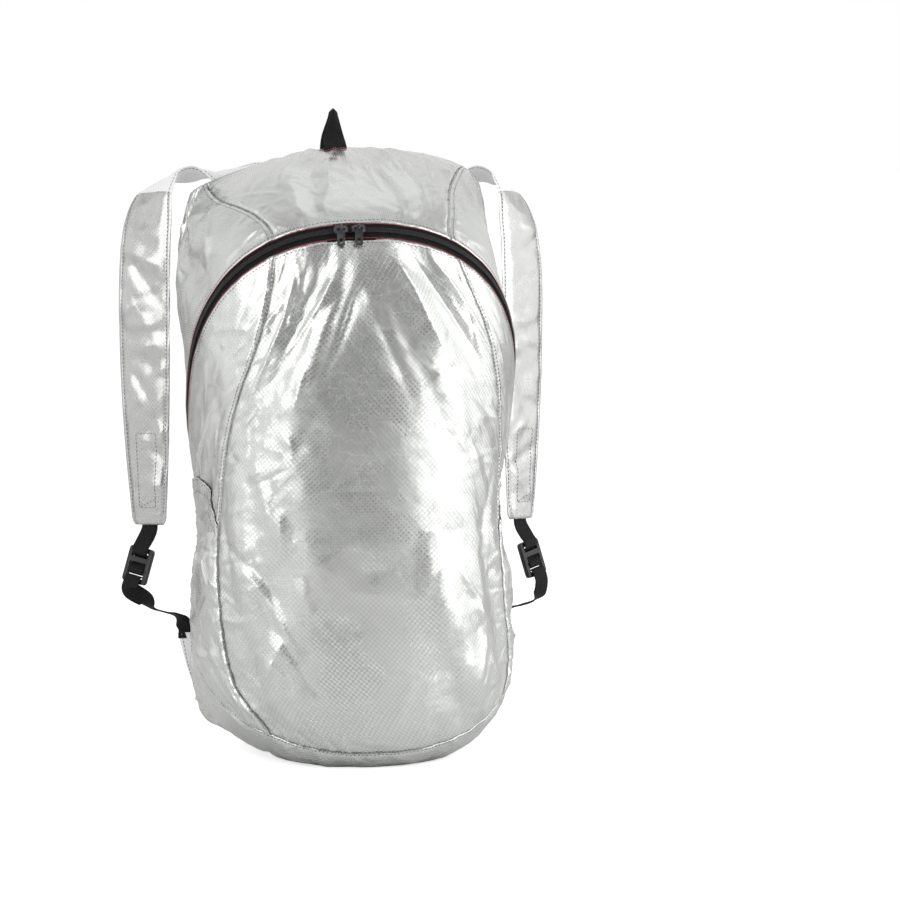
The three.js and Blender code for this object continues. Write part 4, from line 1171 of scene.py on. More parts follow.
def ride_with(piece: bpy.types.Object, slot: str, *nodes: str, body: str = BODY) -> None:
    """Joins a piece to a body, hides the nodes that it stands for, and logs how many faces it has."""
    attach(piece, body)
    if nodes:
        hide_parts(*nodes)
    LOG.info("%s: %d faces", piece.name, len(piece.data.polygons))


@dataclass
class Shell:
    """The sewn pieces of the bag's body, top, bottom and back."""

    form: BagForm
    finishes: Finishes
    band: float = 5.5 * MM
    edge_waver: float = 0.22 * MM
    pressed: float = 0.8 * MM
    surfaces: dict[str, Surface] = field(default_factory=dict)

    def panel(self, across: np.ndarray, low: Callable, high: Callable, rows: int, upright: bool) -> Surface:
        """A grid of cloth between two lines.

        Args:
            across: its columns.
            low: its lower edge, as along for each column.
            high: its upper edge.
            rows: how many rows.
            upright: whether it stands more than it lies.

        Returns:
            The surface.
        """
        share = np.linspace(0.0, 1.0, rows)[:, None]
        bottom, top = low(across)[None, :], high(across)[None, :]
        along = bottom + (top - bottom) * share
        grid = np.broadcast_to(across[None, :], along.shape)
        points = self.form.point(grid, along, self.lift(grid, along))
        return Surface(points, self.form.smooth(grid, along), upright)

    def line(self, along: float, shift: float, wander: float = 0.0) -> Callable:
        """A line of the map moved by a length along it, and wavering by another."""
        def place(across: np.ndarray) -> np.ndarray:
            """The line's place along for each place across."""
            waver = wander * (np.sin(61 * across + 2 * np.sin(23 * across)) + 0.6 * np.sin(149 * across + 1.3))
            return along + self.form.step_along(across, np.full_like(across, along), 1.0) * (shift + waver)
        return place

    def seam_band(self, across: np.ndarray, along: np.ndarray) -> np.ndarray:
        """The felled allowance beside the long seams: a step up on the side panels' cloth."""
        away = (np.abs(across) - LONG_SEAM) * FLAT_SCALE[0]
        return 0.45 * MM * smoothstep(0.0, 0.6 * MM, away) * (1 - smoothstep(self.band, self.band + 0.7 * MM, away))

    def zip_edge(self, across: np.ndarray, along: np.ndarray) -> np.ndarray:
        """The cloth's folded edge beside the zip tape stands a little proud and ends in a small roll."""
        away = np.abs(along - ZIP_LINE) * FLAT_SCALE[1] - TAPE_WIDTH / 2
        return 0.5 * MM * (1 - smoothstep(3.6 * MM, 4.6 * MM, away)) * smoothstep(-1.0 * MM, 0.8 * MM, away)

    def lift(self, across: np.ndarray, along: np.ndarray) -> np.ndarray:
        """The height that the bands and folded edges add to the shell, which the pulls press in a little."""
        clear = self.form.clear_of_pulls(across, along)
        return self.seam_band(across, along) + self.zip_edge(across, along) * clear - self.pressed * (1 - clear)

    def build(self) -> None:
        """Builds and dresses every panel of the shell."""
        body_low = self.line(BOTTOM_SEAM, 0.0)
        body_high = self.line(ZIP_LINE, -TAPE_WIDTH / 2 + self.edge_waver, self.edge_waver)
        roof_low = self.line(ZIP_LINE, TAPE_WIDTH / 2, self.edge_waver)
        ends = {"floor": lambda a: np.zeros_like(a), "crown": lambda a: np.ones_like(a)}
        left, front, right = (-1.0, -LONG_SEAM), (-LONG_SEAM, LONG_SEAM), (LONG_SEAM, 1.0)
        look = self.finishes
        cuts = (
            ("front_panel", front, 128, body_low, body_high, 216, look.front),
            ("side_panel_left", left, 84, body_low, body_high, 200, look.plain),
            ("side_panel_right", right, 84, body_low, body_high, 200, look.plain),
            ("bottom_panel", (-1.0, 1.0), 250, ends["floor"], body_low, 96, look.plain),
            ("top_panel", front, 116, roof_low, ends["crown"], 80, look.shoulder),
            ("shoulder_panel_left", left, 70, roof_low, ends["crown"], 90, look.shoulder),
            ("shoulder_panel_right", right, 70, roof_low, ends["crown"], 90, look.shoulder),
        )
        for name, (a, b), columns, low, high, rows, material in cuts:
            upright = name.startswith(("front", "side", "shoulder"))
            surface = self.panel(np.linspace(a, b, columns), low, high, rows, upright)
            self.finish(name, surface, material)
        self.finish("back_panel", self.back(), look.plain, flipped=True)

    def finish(self, name: str, surface: Surface, material: bpy.types.Material, flipped: bool = False) -> None:
        self.surfaces[name] = surface
        piece = cloth_object(f"cloth_{name}", surface, material, flipped=flipped)
        ride_with(piece, "ripstop_cloth", name)
        width, length = surface.cut
        min(max(surface.area, 0.31 * width * length), width * length)

    def back(self) -> Surface:
        """The back panel: a patch stretched between the rim's four sides, swollen in its middle and creased."""
        rows, columns = 170, 110
        at, share = np.linspace(0, 1, rows)[:, None], np.linspace(0, 1, columns)[None, :]
        across = 2 * share - 1
        form = self.form
        bottom = form.smooth(across, np.zeros((1, 1))) * (1 - at)[..., None]
        top = form.smooth(across, np.ones((1, 1))) * at[..., None]
        left = form.smooth(-np.ones((1, 1)), at) * (1 - share)[..., None]
        right = form.smooth(np.ones((1, 1)), at) * share[..., None]
        corner = {(a, b): form.smooth(np.array(2.0 * a - 1), np.array(float(b))) for a in (0, 1) for b in (0, 1)}
        corners = sum(corner[a, b] * ((share if a else 1 - share) * (at if b else 1 - at))[..., None]
                      for a, b in corner)
        points = bottom + top + left + right - corners
        swell = np.sin(np.pi * share) * np.sin(np.pi * at)
        flat = points[..., [0, 2]]
        rng = np.random.default_rng(77)
        spots = rng.uniform([-0.12, 0.03], [0.12, 0.45], (70, 2))
        ways = rng.normal(0, 1, (70, 2)) * [0.03, 0.02]
        tall = rng.uniform(0.8, 2.2, 70) * rng.choice([-1, 1], 70) * MM
        rows_of = np.column_stack([spots, spots + ways, tall, rng.uniform(6, 14, 70) * MM])
        fine = Creases.of(list(map(tuple, rows_of)), 0.6, False).relief(flat)
        fine = fine + sum(f.relief(flat) for f in form.facets)
        edge = np.minimum(np.minimum(share, 1 - share), np.minimum(at, 1 - at))
        unfolded = points.copy()
        unfolded[..., 1] = BACK_PLANE + SEAM_GAP + WALL + 7 * MM * swell
        points[..., 1] = unfolded[..., 1] + fine * smoothstep(0.0, 0.08, edge) * 0.8
        return Surface(points, unfolded, upright=True)


@dataclass
class Pocket:
    """An open-mouthed pocket of the same cloth, sewn on a side panel."""

    form: BagForm
    shell: Shell
    side: Side
    mouth: float = 0.5 * MM
    hem_at_seam: float = 0.54
    hem_at_back: float = 0.71
    hem_width: float = 13 * MM

    def surface(self) -> Surface:
        """The pocket's outer face: it stands off most in the middle of its mouth, and its hem is gathered."""
        sign = self.side.value
        across = np.linspace(-1.0, -LONG_SEAM, 80) if sign < 0 else np.linspace(LONG_SEAM, 1.0, 80)
        share_seam = (np.abs(across) - LONG_SEAM) / (1 - LONG_SEAM)
        top = self.hem_at_seam + (self.hem_at_back - self.hem_at_seam) * share_seam
        low = BOTTOM_SEAM + self.form.step_along(across, np.full_like(across, BOTTOM_SEAM), SEAM_GAP)
        v = np.linspace(0, 1, 120)[:, None]
        along = low[None, :] + (top - low)[None, :] * v
        grid = np.broadcast_to(across[None, :], along.shape)
        stand = np.sin(np.pi * share_seam)[None, :] ** 1.3 * v**1.4
        below = (1 - v) * (top - low)[None, :] * FLAT_SCALE[1]
        hem = 0.35 * MM * (1 - smoothstep(self.hem_width, self.hem_width + 1 * MM, below))
        gathers = 0.2 * MM * np.sin(share_seam[None, :] * 88 + 2.2 * np.sin(share_seam[None, :] * 17))
        gathers = gathers * (1 - smoothstep(0.0, 45 * MM, below)) * np.sin(np.pi * share_seam)[None, :]
        lift = CLOTH + 0.4 * MM + self.mouth * stand + hem + gathers + self.shell.seam_band(grid, along)
        return Surface(self.form.point(grid, along, lift), self.form.smooth(grid, along), upright=True)

    def build(self) -> Surface:
        """Makes the pocket and returns its surface for its stitches."""
        name = f"side_pocket_{self.side.word}"
        surface = self.surface()
        self.shell.finish(name, surface, self.shell.finishes.plain)
        return surface


@dataclass
class ZipClosure:
    """The arched zip: two tapes, its coil and the two sliders with their pulls."""

    form: BagForm
    finishes: Finishes
    frame: dict
    tooth_pitch: float = 1.25 * MM
    tooth_reach: float = 2.1 * MM
    tooth_radius: float = 0.42 * MM
    tape_drop: float = 0.35 * MM

    def tape(self, sign: int) -> Surface:
        """A tape from the coil's middle out to just under the cloth, a little lower than the cloth."""
        across = np.linspace(-1.0, 1.0, 420)
        width = np.linspace(0.0, 1.0, 10)
        inner, outer = 0.2 * MM, TAPE_WIDTH / 2 + 0.9 * MM
        offsets = sign * (inner + (outer - inner) * (width if sign > 0 else width[::-1]))
        step = self.form.step_along(across, np.full_like(across, ZIP_LINE), 1.0)
        along = ZIP_LINE + offsets[:, None] * step[None, :]
        grid = np.broadcast_to(across[None, :], along.shape)
        return Surface(self.form.point(grid, along, -self.tape_drop), self.form.smooth(grid, along))

    def teeth(self) -> bpy.types.Object:
        """Slanted nylon turns from both sides, half a pitch apart, meeting over the middle of the zip."""
        fine = np.linspace(-0.995, 0.995, 1500)
        line = self.form.point(fine, np.full_like(fine, ZIP_LINE), 0.0)
        run = np.concatenate([[0.0], np.linalg.norm(np.diff(line, axis=0), axis=-1).cumsum()])
        count = int(run[-1] / self.tooth_pitch)
        needle = Needle(length=self.tooth_reach * 1.35, radius=self.tooth_radius)
        for sign in (-1, 1):
            place = (np.arange(count) + (0.25 if sign < 0 else 0.75)) * self.tooth_pitch
            across = np.interp(place, run, fine)
            middle = np.stack([np.interp(place, run, line[:, k]) for k in range(3)], -1)
            right, _ = self.form.directions(across, np.full_like(across, ZIP_LINE))
            out = self.form.outward(across, np.full_like(across, ZIP_LINE))
            up = unit(np.cross(out, unit(right)))
            start = middle + sign * self.tooth_reach * up + out * 0.55 * MM
            end = middle - sign * 0.5 * MM * up + out * 0.95 * MM
            needle.lines.append(self.tooth(start, end, out))
        return needle.piece("coil_turns", self.finishes.coil)

    def tooth(self, start: np.ndarray, end: np.ndarray, out: np.ndarray) -> np.ndarray:
        """The twenty points of each turn, a lozenge from start to end with six-sided rings."""
        middle, half = (start + end) / 2, (end - start) / 2
        side = unit(np.cross(out, half))
        over = unit(np.cross(half, side))
        angle = np.linspace(0, 2 * np.pi, 6, endpoint=False)
        ring = side[:, None] * np.cos(angle)[None, :, None] + over[:, None] * np.sin(angle)[None, :, None]
        ring = ring * self.tooth_radius
        hump = out[:, None] * 0.2 * MM
        rows = [(middle - half)[:, None], (middle - half * 0.7)[:, None] + ring, middle[:, None] + hump + ring,
                (middle + half * 0.7)[:, None] + ring, (middle + half)[:, None]]
        return np.concatenate(rows, axis=1)

    def build(self) -> None:
        """Builds the tapes, the coil, the sliders and the pulls."""
        for sign, node in ((-1, "zip_tape_lower"), (1, "zip_tape_upper")):
            surface = self.tape(sign)
            piece = cloth_object(f"woven_{node}", surface, self.finishes.tape, 0.6 * MM)
            ride_with(piece, "zip_tape", node)
            width, length = surface.cut
            min(surface.area, length * width)
        ride_with(self.teeth(), "zip_coil", "zip_coil")
        for side in Side:
            parts = ((f"zip_slider_{side.word}", 0.35 * MM, BODY),
                     (f"zip_pull_{side.word}", 0.28 * MM, f"pull_{side.word}"))
            for node, bevel, body in parts:
                ride_with(Hardware(self.frame, bevel).dress(node, self.finishes.metal), "gunmetal", node, body=body)


# A strap's stations: out from the middle as a share of BAG_WIDTH / 2, back behind the back plane as a share of the
# strap's width, up as a share of BAG_HEIGHT, wide as a share of the strap's width, and the way its face looks.
STRAP_STATIONS = (
    (0.36, 0.03, 0.895, 0.70, 0.0, -1.0, 0.05),
    (0.50, 0.15, 0.932, 0.78, -0.05, -0.9, 0.4),
    (0.68, 0.45, 0.942, 0.84, 0.0, -0.25, 1.0),
    (0.86, 0.55, 0.945, 0.90, -0.05, 0.3, 0.95),
    (1.00, 0.51, 0.938, 0.96, -0.35, 0.12, 0.9),
    (1.10, 0.36, 0.912, 1.00, -0.66, -0.35, 0.6),
    (1.145, 0.23, 0.860, 1.00, -0.68, -0.7, 0.15),
    (1.165, 0.17, 0.790, 1.00, -0.64, -0.77, 0.0),
    (1.168, 0.13, 0.630, 0.98, -0.64, -0.77, 0.0),
    (1.16, 0.08, 0.490, 0.86, -0.64, -0.77, 0.0),
    (1.15, 0.04, 0.365, 0.66, -0.64, -0.77, 0.0),
)
LOCK_PLACE = (1.22, 0.0, 0.298)
LOCK_FACE = (-0.64, -0.77, 0.05)

# The lower webbing's stations: beyond the back's edge as a share of the tab's reach, then back, up and face as above.
TAIL_STATIONS = (
    (3.1, 0.03, 0.240, -0.64, -0.77, 0.0),
    (2.7, 0.05, 0.227, -0.6, -0.2, -0.75),
    (1.8, 0.06, 0.219, -0.25, -0.12, -0.95),
    (1.0, 0.06, 0.213, -0.3, -0.3, -0.9),
)


@dataclass
class Harness:
    """One shoulder strap with its webbing, ladder lock and sewn tab."""

    form: BagForm
    finishes: Finishes
    frame: dict
    side: Side
    width: float = 49 * MM
    padding: float = 5 * MM
    webbing_width: float = 15 * MM
    webbing_thickness: float = 1.5 * MM
    lock_height: float = 29 * MM
    lock_thickness: float = 4 * MM
    slot_height: float = 4.4 * MM
    slots: int = 3
    tab_reach: float = 12 * MM
    tab_tip_reach: float = 1.5 * MM
    tab_thickness: float = 1.6 * MM
    tab_top: float = 0.185
    tab_tip: float = 0.1
    running_gap: float = 0.35 * MM
    channel: float = 0.86
    pale_end: float = 116 * MM
    folds: int = 40

    def place(self, out: float, back: float, up: float) -> np.ndarray:
        """A place given in shares, on this side of the bag."""
        y = BACK_PLANE + 2 * SEAM_GAP + WALL + self.padding / 2 + back * self.width
        return np.array([self.side.value * out * BAG_WIDTH / 2, y, up * BAG_HEIGHT])

    def face(self, x: float, y: float, z: float) -> np.ndarray:
        """A face direction, mirrored to this side."""
        return unit(np.array([-self.side.value * x, y, z]))

    def strap_route(self) -> Route:
        """The strap's stations."""
        places = np.array([self.place(*row[:3]) for row in STRAP_STATIONS])
        faces = np.array([self.face(*row[4:]) for row in STRAP_STATIONS])
        return Route(places, faces, np.array([row[3] for row in STRAP_STATIONS]) * self.width)

    def strap_faces(self, count: int = 260, across: int = 44) -> tuple[np.ndarray, np.ndarray, np.ndarray]:
        """The strap's outer and inner face as grids.

        Half the thickness is the padding's crown, 1 - |s|^8 of it inside the stitched channels at |s| = channel,
        and a thin lip outside them that closes to nothing at |s| = 1. Both faces carry creases and facets.

        Args:
            count: stations along.
            across: points across.

        Returns:
            Two arrays shaped (count, across, 3), and the flat coordinates that they share.
        """
        places, sides, faces, half = self.strap_route().frames(count)
        s = np.sin(np.linspace(-np.pi / 2, np.pi / 2, across))
        inner = np.clip(np.abs(s) / self.channel, 0, 1)
        crown = 0.5 * MM + (self.padding / 2 - 0.5 * MM) * (1 - inner**6)
        lip = 0.5 * MM + 0.45 * MM * np.sin(np.pi * np.clip((np.abs(s) - self.channel) / (1 - self.channel), 0, 1))
        thick = np.where(np.abs(s) < self.channel, crown, lip) * np.sqrt(np.clip(1 - s**12, 0, 1))
        run = np.concatenate([[0.0], np.linalg.norm(np.diff(places, axis=0), axis=-1).cumsum()])
        half = half * (1 - 0.16 * np.clip((run - run[-1] + 6 * MM) / (6 * MM), 0, 1) ** 2.5)
        flat = np.stack(np.broadcast_arrays(s[None, :] * half[:, None], run[:, None]), axis=-1)
        ends = smoothstep(0.0, 12 * MM, run) * smoothstep(0.0, 12 * MM, run[-1] - run)
        body = ends[:, None] * (1 - 0.75 * np.abs(s[None, :]) ** 4)
        grids = []
        for sign, seed in ((1.0, 20 + self.side.value), (-1.0, 50 + self.side.value)):
            rng = np.random.default_rng(seed)
            n = self.folds
            spot = np.column_stack([rng.uniform(-0.02, 0.02, n), rng.uniform(0.01, run[-1] - 0.01, n)])
            way = np.column_stack([rng.choice([-1, 1], n) * rng.uniform(6, 20, n), rng.normal(0, 10, n)]) * MM
            tall = rng.uniform(0.7, 2.0, n) * rng.choice([-1, 1], n) * MM
            rows = np.column_stack([spot - way, spot + way, tall, rng.uniform(7, 15, n) * MM])
            fine = Creases.of(list(map(tuple, rows)), 0.5, False).relief(flat)
            fine = fine + Facets(17 * MM, 0.5 * MM, seed + 3).relief(flat)
            height = thick[None, :] + np.maximum(fine * body, -thick[None, :] * 0.6)
            grids.append(places[:, None] + sides[:, None] * (s[None, :] * half[:, None])[..., None]
                         + sign * faces[:, None] * height[..., None])
        return grids[0], grids[1], flat

    def strap(self) -> tuple[bpy.types.Object, np.ndarray, np.ndarray]:
        """The padded strap as one closed solid, with its two faces for the stitches; its upper end is paler."""
        top, under, flat = self.strap_faces()
        rings = np.concatenate([top, under[:, -2:0:-1]], axis=1)
        flat = np.concatenate([flat, flat[:, -2:0:-1]], axis=1)
        piece = tube_object(f"padded_strap_{self.side.word}", rings, self.finishes.strap, flat)
        piece.data.materials.append(self.finishes.pale)
        stations = flat[:, 0, 1] < self.pale_end
        pale = np.zeros(len(piece.data.polygons), np.int32)
        pale[:(rings.shape[0] - 1) * rings.shape[1]] = np.repeat(stations[:-1], rings.shape[1])
        piece.data.polygons.foreach_set("material_index", pale)
        return piece, top, under

    def lock_frame(self) -> tuple[np.ndarray, np.ndarray, np.ndarray, np.ndarray]:
        """The ladder lock's middle, up and face directions, and the end of the strap above it."""
        middle = self.place(*LOCK_PLACE)
        strap_end = self.place(*STRAP_STATIONS[-1][:3])
        up = unit(strap_end - middle)
        face = self.face(*LOCK_FACE)
        return middle, up, unit(face - (face @ up) * up), strap_end

    def slot_centre(self, index: int) -> float:
        """The height of a slot's middle above the lock's own middle."""
        bar = self.lock_bar
        return self.lock_height / 2 - bar - self.slot_height / 2 - index * (self.slot_height + bar)

    @property
    def lock_bar(self) -> float:
        """The height of each of the lock's bars."""
        return (self.lock_height - self.slots * self.slot_height) / (self.slots + 1)

    def upper_route(self) -> Route:
        """From the strap over the lock's top bar, behind its second bar, and over the third into the last slot."""
        middle, up, face, strap_end = self.lock_frame()
        lap = self.lock_thickness / 2 + self.running_gap + self.webbing_thickness / 2
        route = self.strap_route()
        run = unit(centripetal(route.places, np.array([1.0])) - centripetal(route.places, np.array([0.9999])))[0]
        strap_face = route.faces[-1]
        top, foot = self.lock_height / 2, self.lock_height / 2 - self.lock_bar
        rows = (
            (strap_end + run * SEAM_GAP - run * 8 * MM, strap_face),
            (strap_end + run * (SEAM_GAP + 3 * MM), strap_face),
            (middle + up * (top + 3.5 * MM) + face * lap * 0.6, face),
            (middle + up * (top + 0.6 * MM) + face * (lap + 0.2 * MM), face),
            (middle + up * (top + foot) / 2 + face * (lap + 0.4 * MM), face),
            (middle + up * (foot - 0.9 * MM) + face * lap, face - up * 0.5),
            (middle + up * (self.slot_centre(0) + 0.3 * MM), face * 0.4 - up * 0.9),
            (middle + up * (self.slot_centre(0) + self.slot_centre(1)) / 2 - face * lap, face),
            (middle + up * self.slot_centre(1), face * 0.4 + up * 0.9),
            (middle + up * (self.slot_centre(1) + self.slot_centre(2)) / 2 + face * lap, face),
            (middle + up * (self.slot_centre(2) + 1.2 * MM) + face * 0.8 * MM, face * 0.4 - up * 0.9),
        )
        return Route(np.array([r[0] for r in rows]), np.array([unit(r[1]) for r in rows]),
                     np.full(len(rows), self.webbing_width))

    def lower_route(self) -> Route:
        """From the lock's last slot over its bottom bar, hanging and turning down to the sewn tab."""
        middle, up, face, _ = self.lock_frame()
        lap = self.lock_thickness / 2 + self.running_gap + self.webbing_thickness / 2
        foot = -self.lock_height / 2
        top = foot + self.lock_bar
        tail = []
        for beyond, back, height, *look in TAIL_STATIONS:
            point = self.form.edge_point(self.side, height)
            point[0] += self.side.value * beyond * self.tab_reach
            point[1] = BACK_PLANE + back * self.width
            tail.append((point, self.face(*look), self.webbing_width))
        inner, outer = self.tab_rows(2)[0]
        end = (inner + outer) / 2
        end[1], end[2] = BACK_PLANE + SEAM_GAP + self.tab_thickness / 2, end[2] + SEAM_GAP
        above = end + np.array([0.0, 0.0, 4 * MM])
        front = np.array([0.0, -1.0, 0.0])
        rows = [
            (middle + up * (self.slot_centre(self.slots - 1) - 0.3 * MM) + face * 0.9 * MM,
             face * 0.4 + up * 0.9, self.webbing_width),
            (middle + up * (top + 0.9 * MM) + face * lap, face + up * 0.5, self.webbing_width),
            (middle + up * (top + foot) / 2 + face * (lap + 0.5 * MM), face, self.webbing_width),
            (middle + up * (foot - 0.6 * MM) + face * (lap + 0.9 * MM), face, self.webbing_width),
            (middle + up * (foot - 5 * MM) + face * (lap + 0.4 * MM), face, self.webbing_width),
            *tail,
            (above, front, self.tab_reach * 0.95),
            (end - np.array([0.0, 0.0, 5 * MM]), front, self.tab_reach * 0.9),
        ]
        return Route(np.array([r[0] for r in rows]), np.array([unit(r[1]) for r in rows]),
                     np.array([r[2] for r in rows]))

    def tab_rows(self, count: int) -> list[tuple[np.ndarray, np.ndarray]]:
        """The tab's inner and outer edge at even heights from its top to its tip."""
        rows = []
        for share in np.linspace(0, 1, count):
            inner = self.form.edge_point(self.side, self.tab_top + (self.tab_tip - self.tab_top) * share)
            inner[0] += self.side.value * SEAM_GAP * 2
            reach = self.tab_reach + (self.tab_tip_reach - self.tab_reach) * share
            outer = inner + np.array([self.side.value * reach, 0.0, 0.0])
            rows.append((inner, outer))
        return rows

    def tab(self) -> tuple[bpy.types.Object, np.ndarray]:
        """The folded triangle of cloth: two plies that close in a soft fold along their free edge."""
        edges = self.tab_rows(26)
        inner = np.array([a for a, _ in edges]) - np.array([self.side.value * 1.5 * MM, 0.0, 0.0])
        outer = np.array([b for _, b in edges])
        s = np.linspace(0.0, 1.0, 14)
        middle = inner[:, None] + (outer - inner)[:, None] * s[None, :, None]
        thick = self.tab_thickness / 2 * np.sqrt(np.clip(1 - s**6, 0, 1)) + 0.02 * MM
        ripple = 0.3 * MM * np.sin(np.linspace(0, 9, 26))[:, None] * s[None, :]
        middle[..., 1] = BACK_PLANE + SEAM_GAP + self.tab_thickness / 2 + ripple
        front, back = middle.copy(), middle.copy()
        front[..., 1] -= thick[None, :]
        back[..., 1] += thick[None, :]
        rings = np.concatenate([front, back[:, ::-1]], axis=1)
        return tube_object(f"cloth_tab_{self.side.word}", rings, self.finishes.pale), front

    def build(self, needle: Needle) -> None:
        """Builds the strap and all that hangs from it, and sews it with a needle."""
        word = self.side.word
        strap, top, under = self.strap()
        ride_with(strap, "padded_strap", f"shoulder_strap_{word}")
        for grid, sign in ((top, 1.0), (under, -1.0)):
            surface = Surface(grid, grid)
            normals = surface.normals * (sign if self.faces_out(surface, grid) else -sign)
            for share in (0.5 - self.channel / 2, 0.5 + self.channel / 2):
                column = np.arcsin(2 * share - 1) / np.pi + 0.5
                place = np.full(grid.shape[0] - 8, column * (grid.shape[1] - 1))
                line, _ = surface.read(np.arange(4.0, grid.shape[0] - 4.0), place)
                out, _ = Surface(normals, grid).read(np.arange(4.0, grid.shape[0] - 4.0), place)
                needle.sew(line, unit(out))
        self.sew_box(top, needle)
        upper = tube_object(f"webbing_upper_{word}", webbing_rings(self.upper_route(), 1.3 * MM, 120),
                            self.finishes.webbing)
        ride_with(upper, "webbing", f"strap_webbing_upper_{word}")
        lower = tube_object(f"webbing_lower_{word}", webbing_rings(self.lower_route(), 1.4 * MM, 120),
                            self.finishes.webbing)
        ride_with(lower, "webbing", f"strap_webbing_lower_{word}")
        lock = Hardware(self.frame, 0.7 * MM).dress(f"ladder_lock_{word}", self.finishes.lock)
        ride_with(lock, "ladder_lock", f"ladder_lock_{word}")
        tab, front = self.tab()
        ride_with(tab, "ripstop_cloth", f"strap_tab_{word}")
        out = np.tile([0.0, -1.0, 0.0], (len(front), 1))
        needle.sew(front[:, 10], out)
        needle.sew(front[:, 3], out)

    def sew_box(self, grid: np.ndarray, needle: Needle) -> None:
        """Sews a long box on the strap's outer face, over the end of the webbing inside it."""
        surface = Surface(grid, grid)
        sign = 1.0 if self.faces_out(surface, grid) else -1.0
        rows, columns = grid.shape[:2]
        low, high = rows - 7.0, rows - 32.0
        left, right = columns * 0.36, columns * 0.64
        corners = ((low, left), (high, left), (high, right), (low, right), (low, left), (low - 3, right))
        for (row_a, column_a), (row_b, column_b) in zip(corners, corners[1:]):
            share = np.linspace(0, 1, 30)
            line, out = surface.read(row_a + (row_b - row_a) * share, column_a + (column_b - column_a) * share)
            needle.sew(line, out * sign)

    def faces_out(self, surface: Surface, grid: np.ndarray) -> bool:
        """Whether the outer face's grid normals look the way that the strap's face does."""
        _, _, faces, _ = self.strap_route().frames(grid.shape[0])
        middle = grid.shape[1] // 2
        return float((surface.normals[:, middle] * faces).sum(-1).mean()) > 0


@dataclass
class GrabLoop:
    """The loop of webbing on the top seam, pinched and folded lengthwise at its top."""

    form: BagForm
    finishes: Finishes
    width: float = 21 * MM
    rise: float = 27 * MM
    spread: float = 9 * MM
    thickness: float = 1.6 * MM
    centre: float = -4 * MM
    drawn_in: float = 0.86
    seam_line: float = 0.966

    def route(self) -> Route:
        """One leg before the seam, one behind it, and the narrow top between them."""
        box_low, box_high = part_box("grab_loop")
        crown = box_high.z - self.thickness / 2 - self.rise
        back = BACK_PLANE + SEAM_GAP + WALL + SEAM_GAP + self.thickness / 2
        front = box_low.y + self.thickness / 2
        top = crown + self.rise
        middle = (front + back) / 2
        seat = self.seat(front)
        rows = (
            (front - 1.5 * MM, seat - 5 * MM, 1.0, -1.0, 0.3),
            (front, seat + 1 * MM, 1.0, -1.0, 0.0),
            (middle - self.spread / 2, crown + 0.35 * self.rise, 0.85, -1.0, 0.05),
            (middle - self.spread / 3, crown + 0.8 * self.rise, 0.5, -0.95, 0.3),
            (middle, top, 0.38, 0.0, 1.0),
            (middle + self.spread / 3, crown + 0.8 * self.rise, 0.5, 0.95, 0.3),
            (back, crown + 0.3 * self.rise, 0.85, 1.0, 0.05),
            (back + 0.3 * MM, crown - 4 * MM, 1.0, 1.0, 0.0),
            (back + 0.9 * MM, crown - 12 * MM, 1.0, 1.0, 0.0),
        )
        places = np.array([(self.centre, y, z) for y, z, *_ in rows])
        faces = np.array([(0.0, y, z) for *_, y, z in rows])
        return Route(places, faces, np.array([w for _, _, w, *_ in rows]) * self.width * self.drawn_in)

    def seat(self, y: float) -> float:
        """The height of the top panel's cloth under the loop's front leg."""
        along = np.linspace(0.9, 0.995, 60)
        points = self.form.point(np.full_like(along, -0.02), along, 0.0)
        return float(np.interp(y, points[:, 1], points[:, 2]))

    def build(self, red: Needle) -> None:
        """Makes the loop and its row of red stitches at the seam."""
        route = self.route()
        piece = tube_object("loop_webbing", webbing_rings(route, self.thickness, 150, fold=0.55),
                            self.finishes.webbing)
        ride_with(piece, "webbing", "grab_loop")
        spread = np.linspace(-0.2, 0.2, 400)
        line = self.form.smooth(spread, np.full_like(spread, self.seam_line))
        reach = self.width * self.drawn_in / 2
        across = np.interp(np.linspace(self.centre - reach, self.centre + reach, 40), line[:, 0], spread)
        along = np.full_like(across, self.seam_line)
        red.sew(self.form.point(across, along, 0.5 * MM), self.form.outward(across, along))


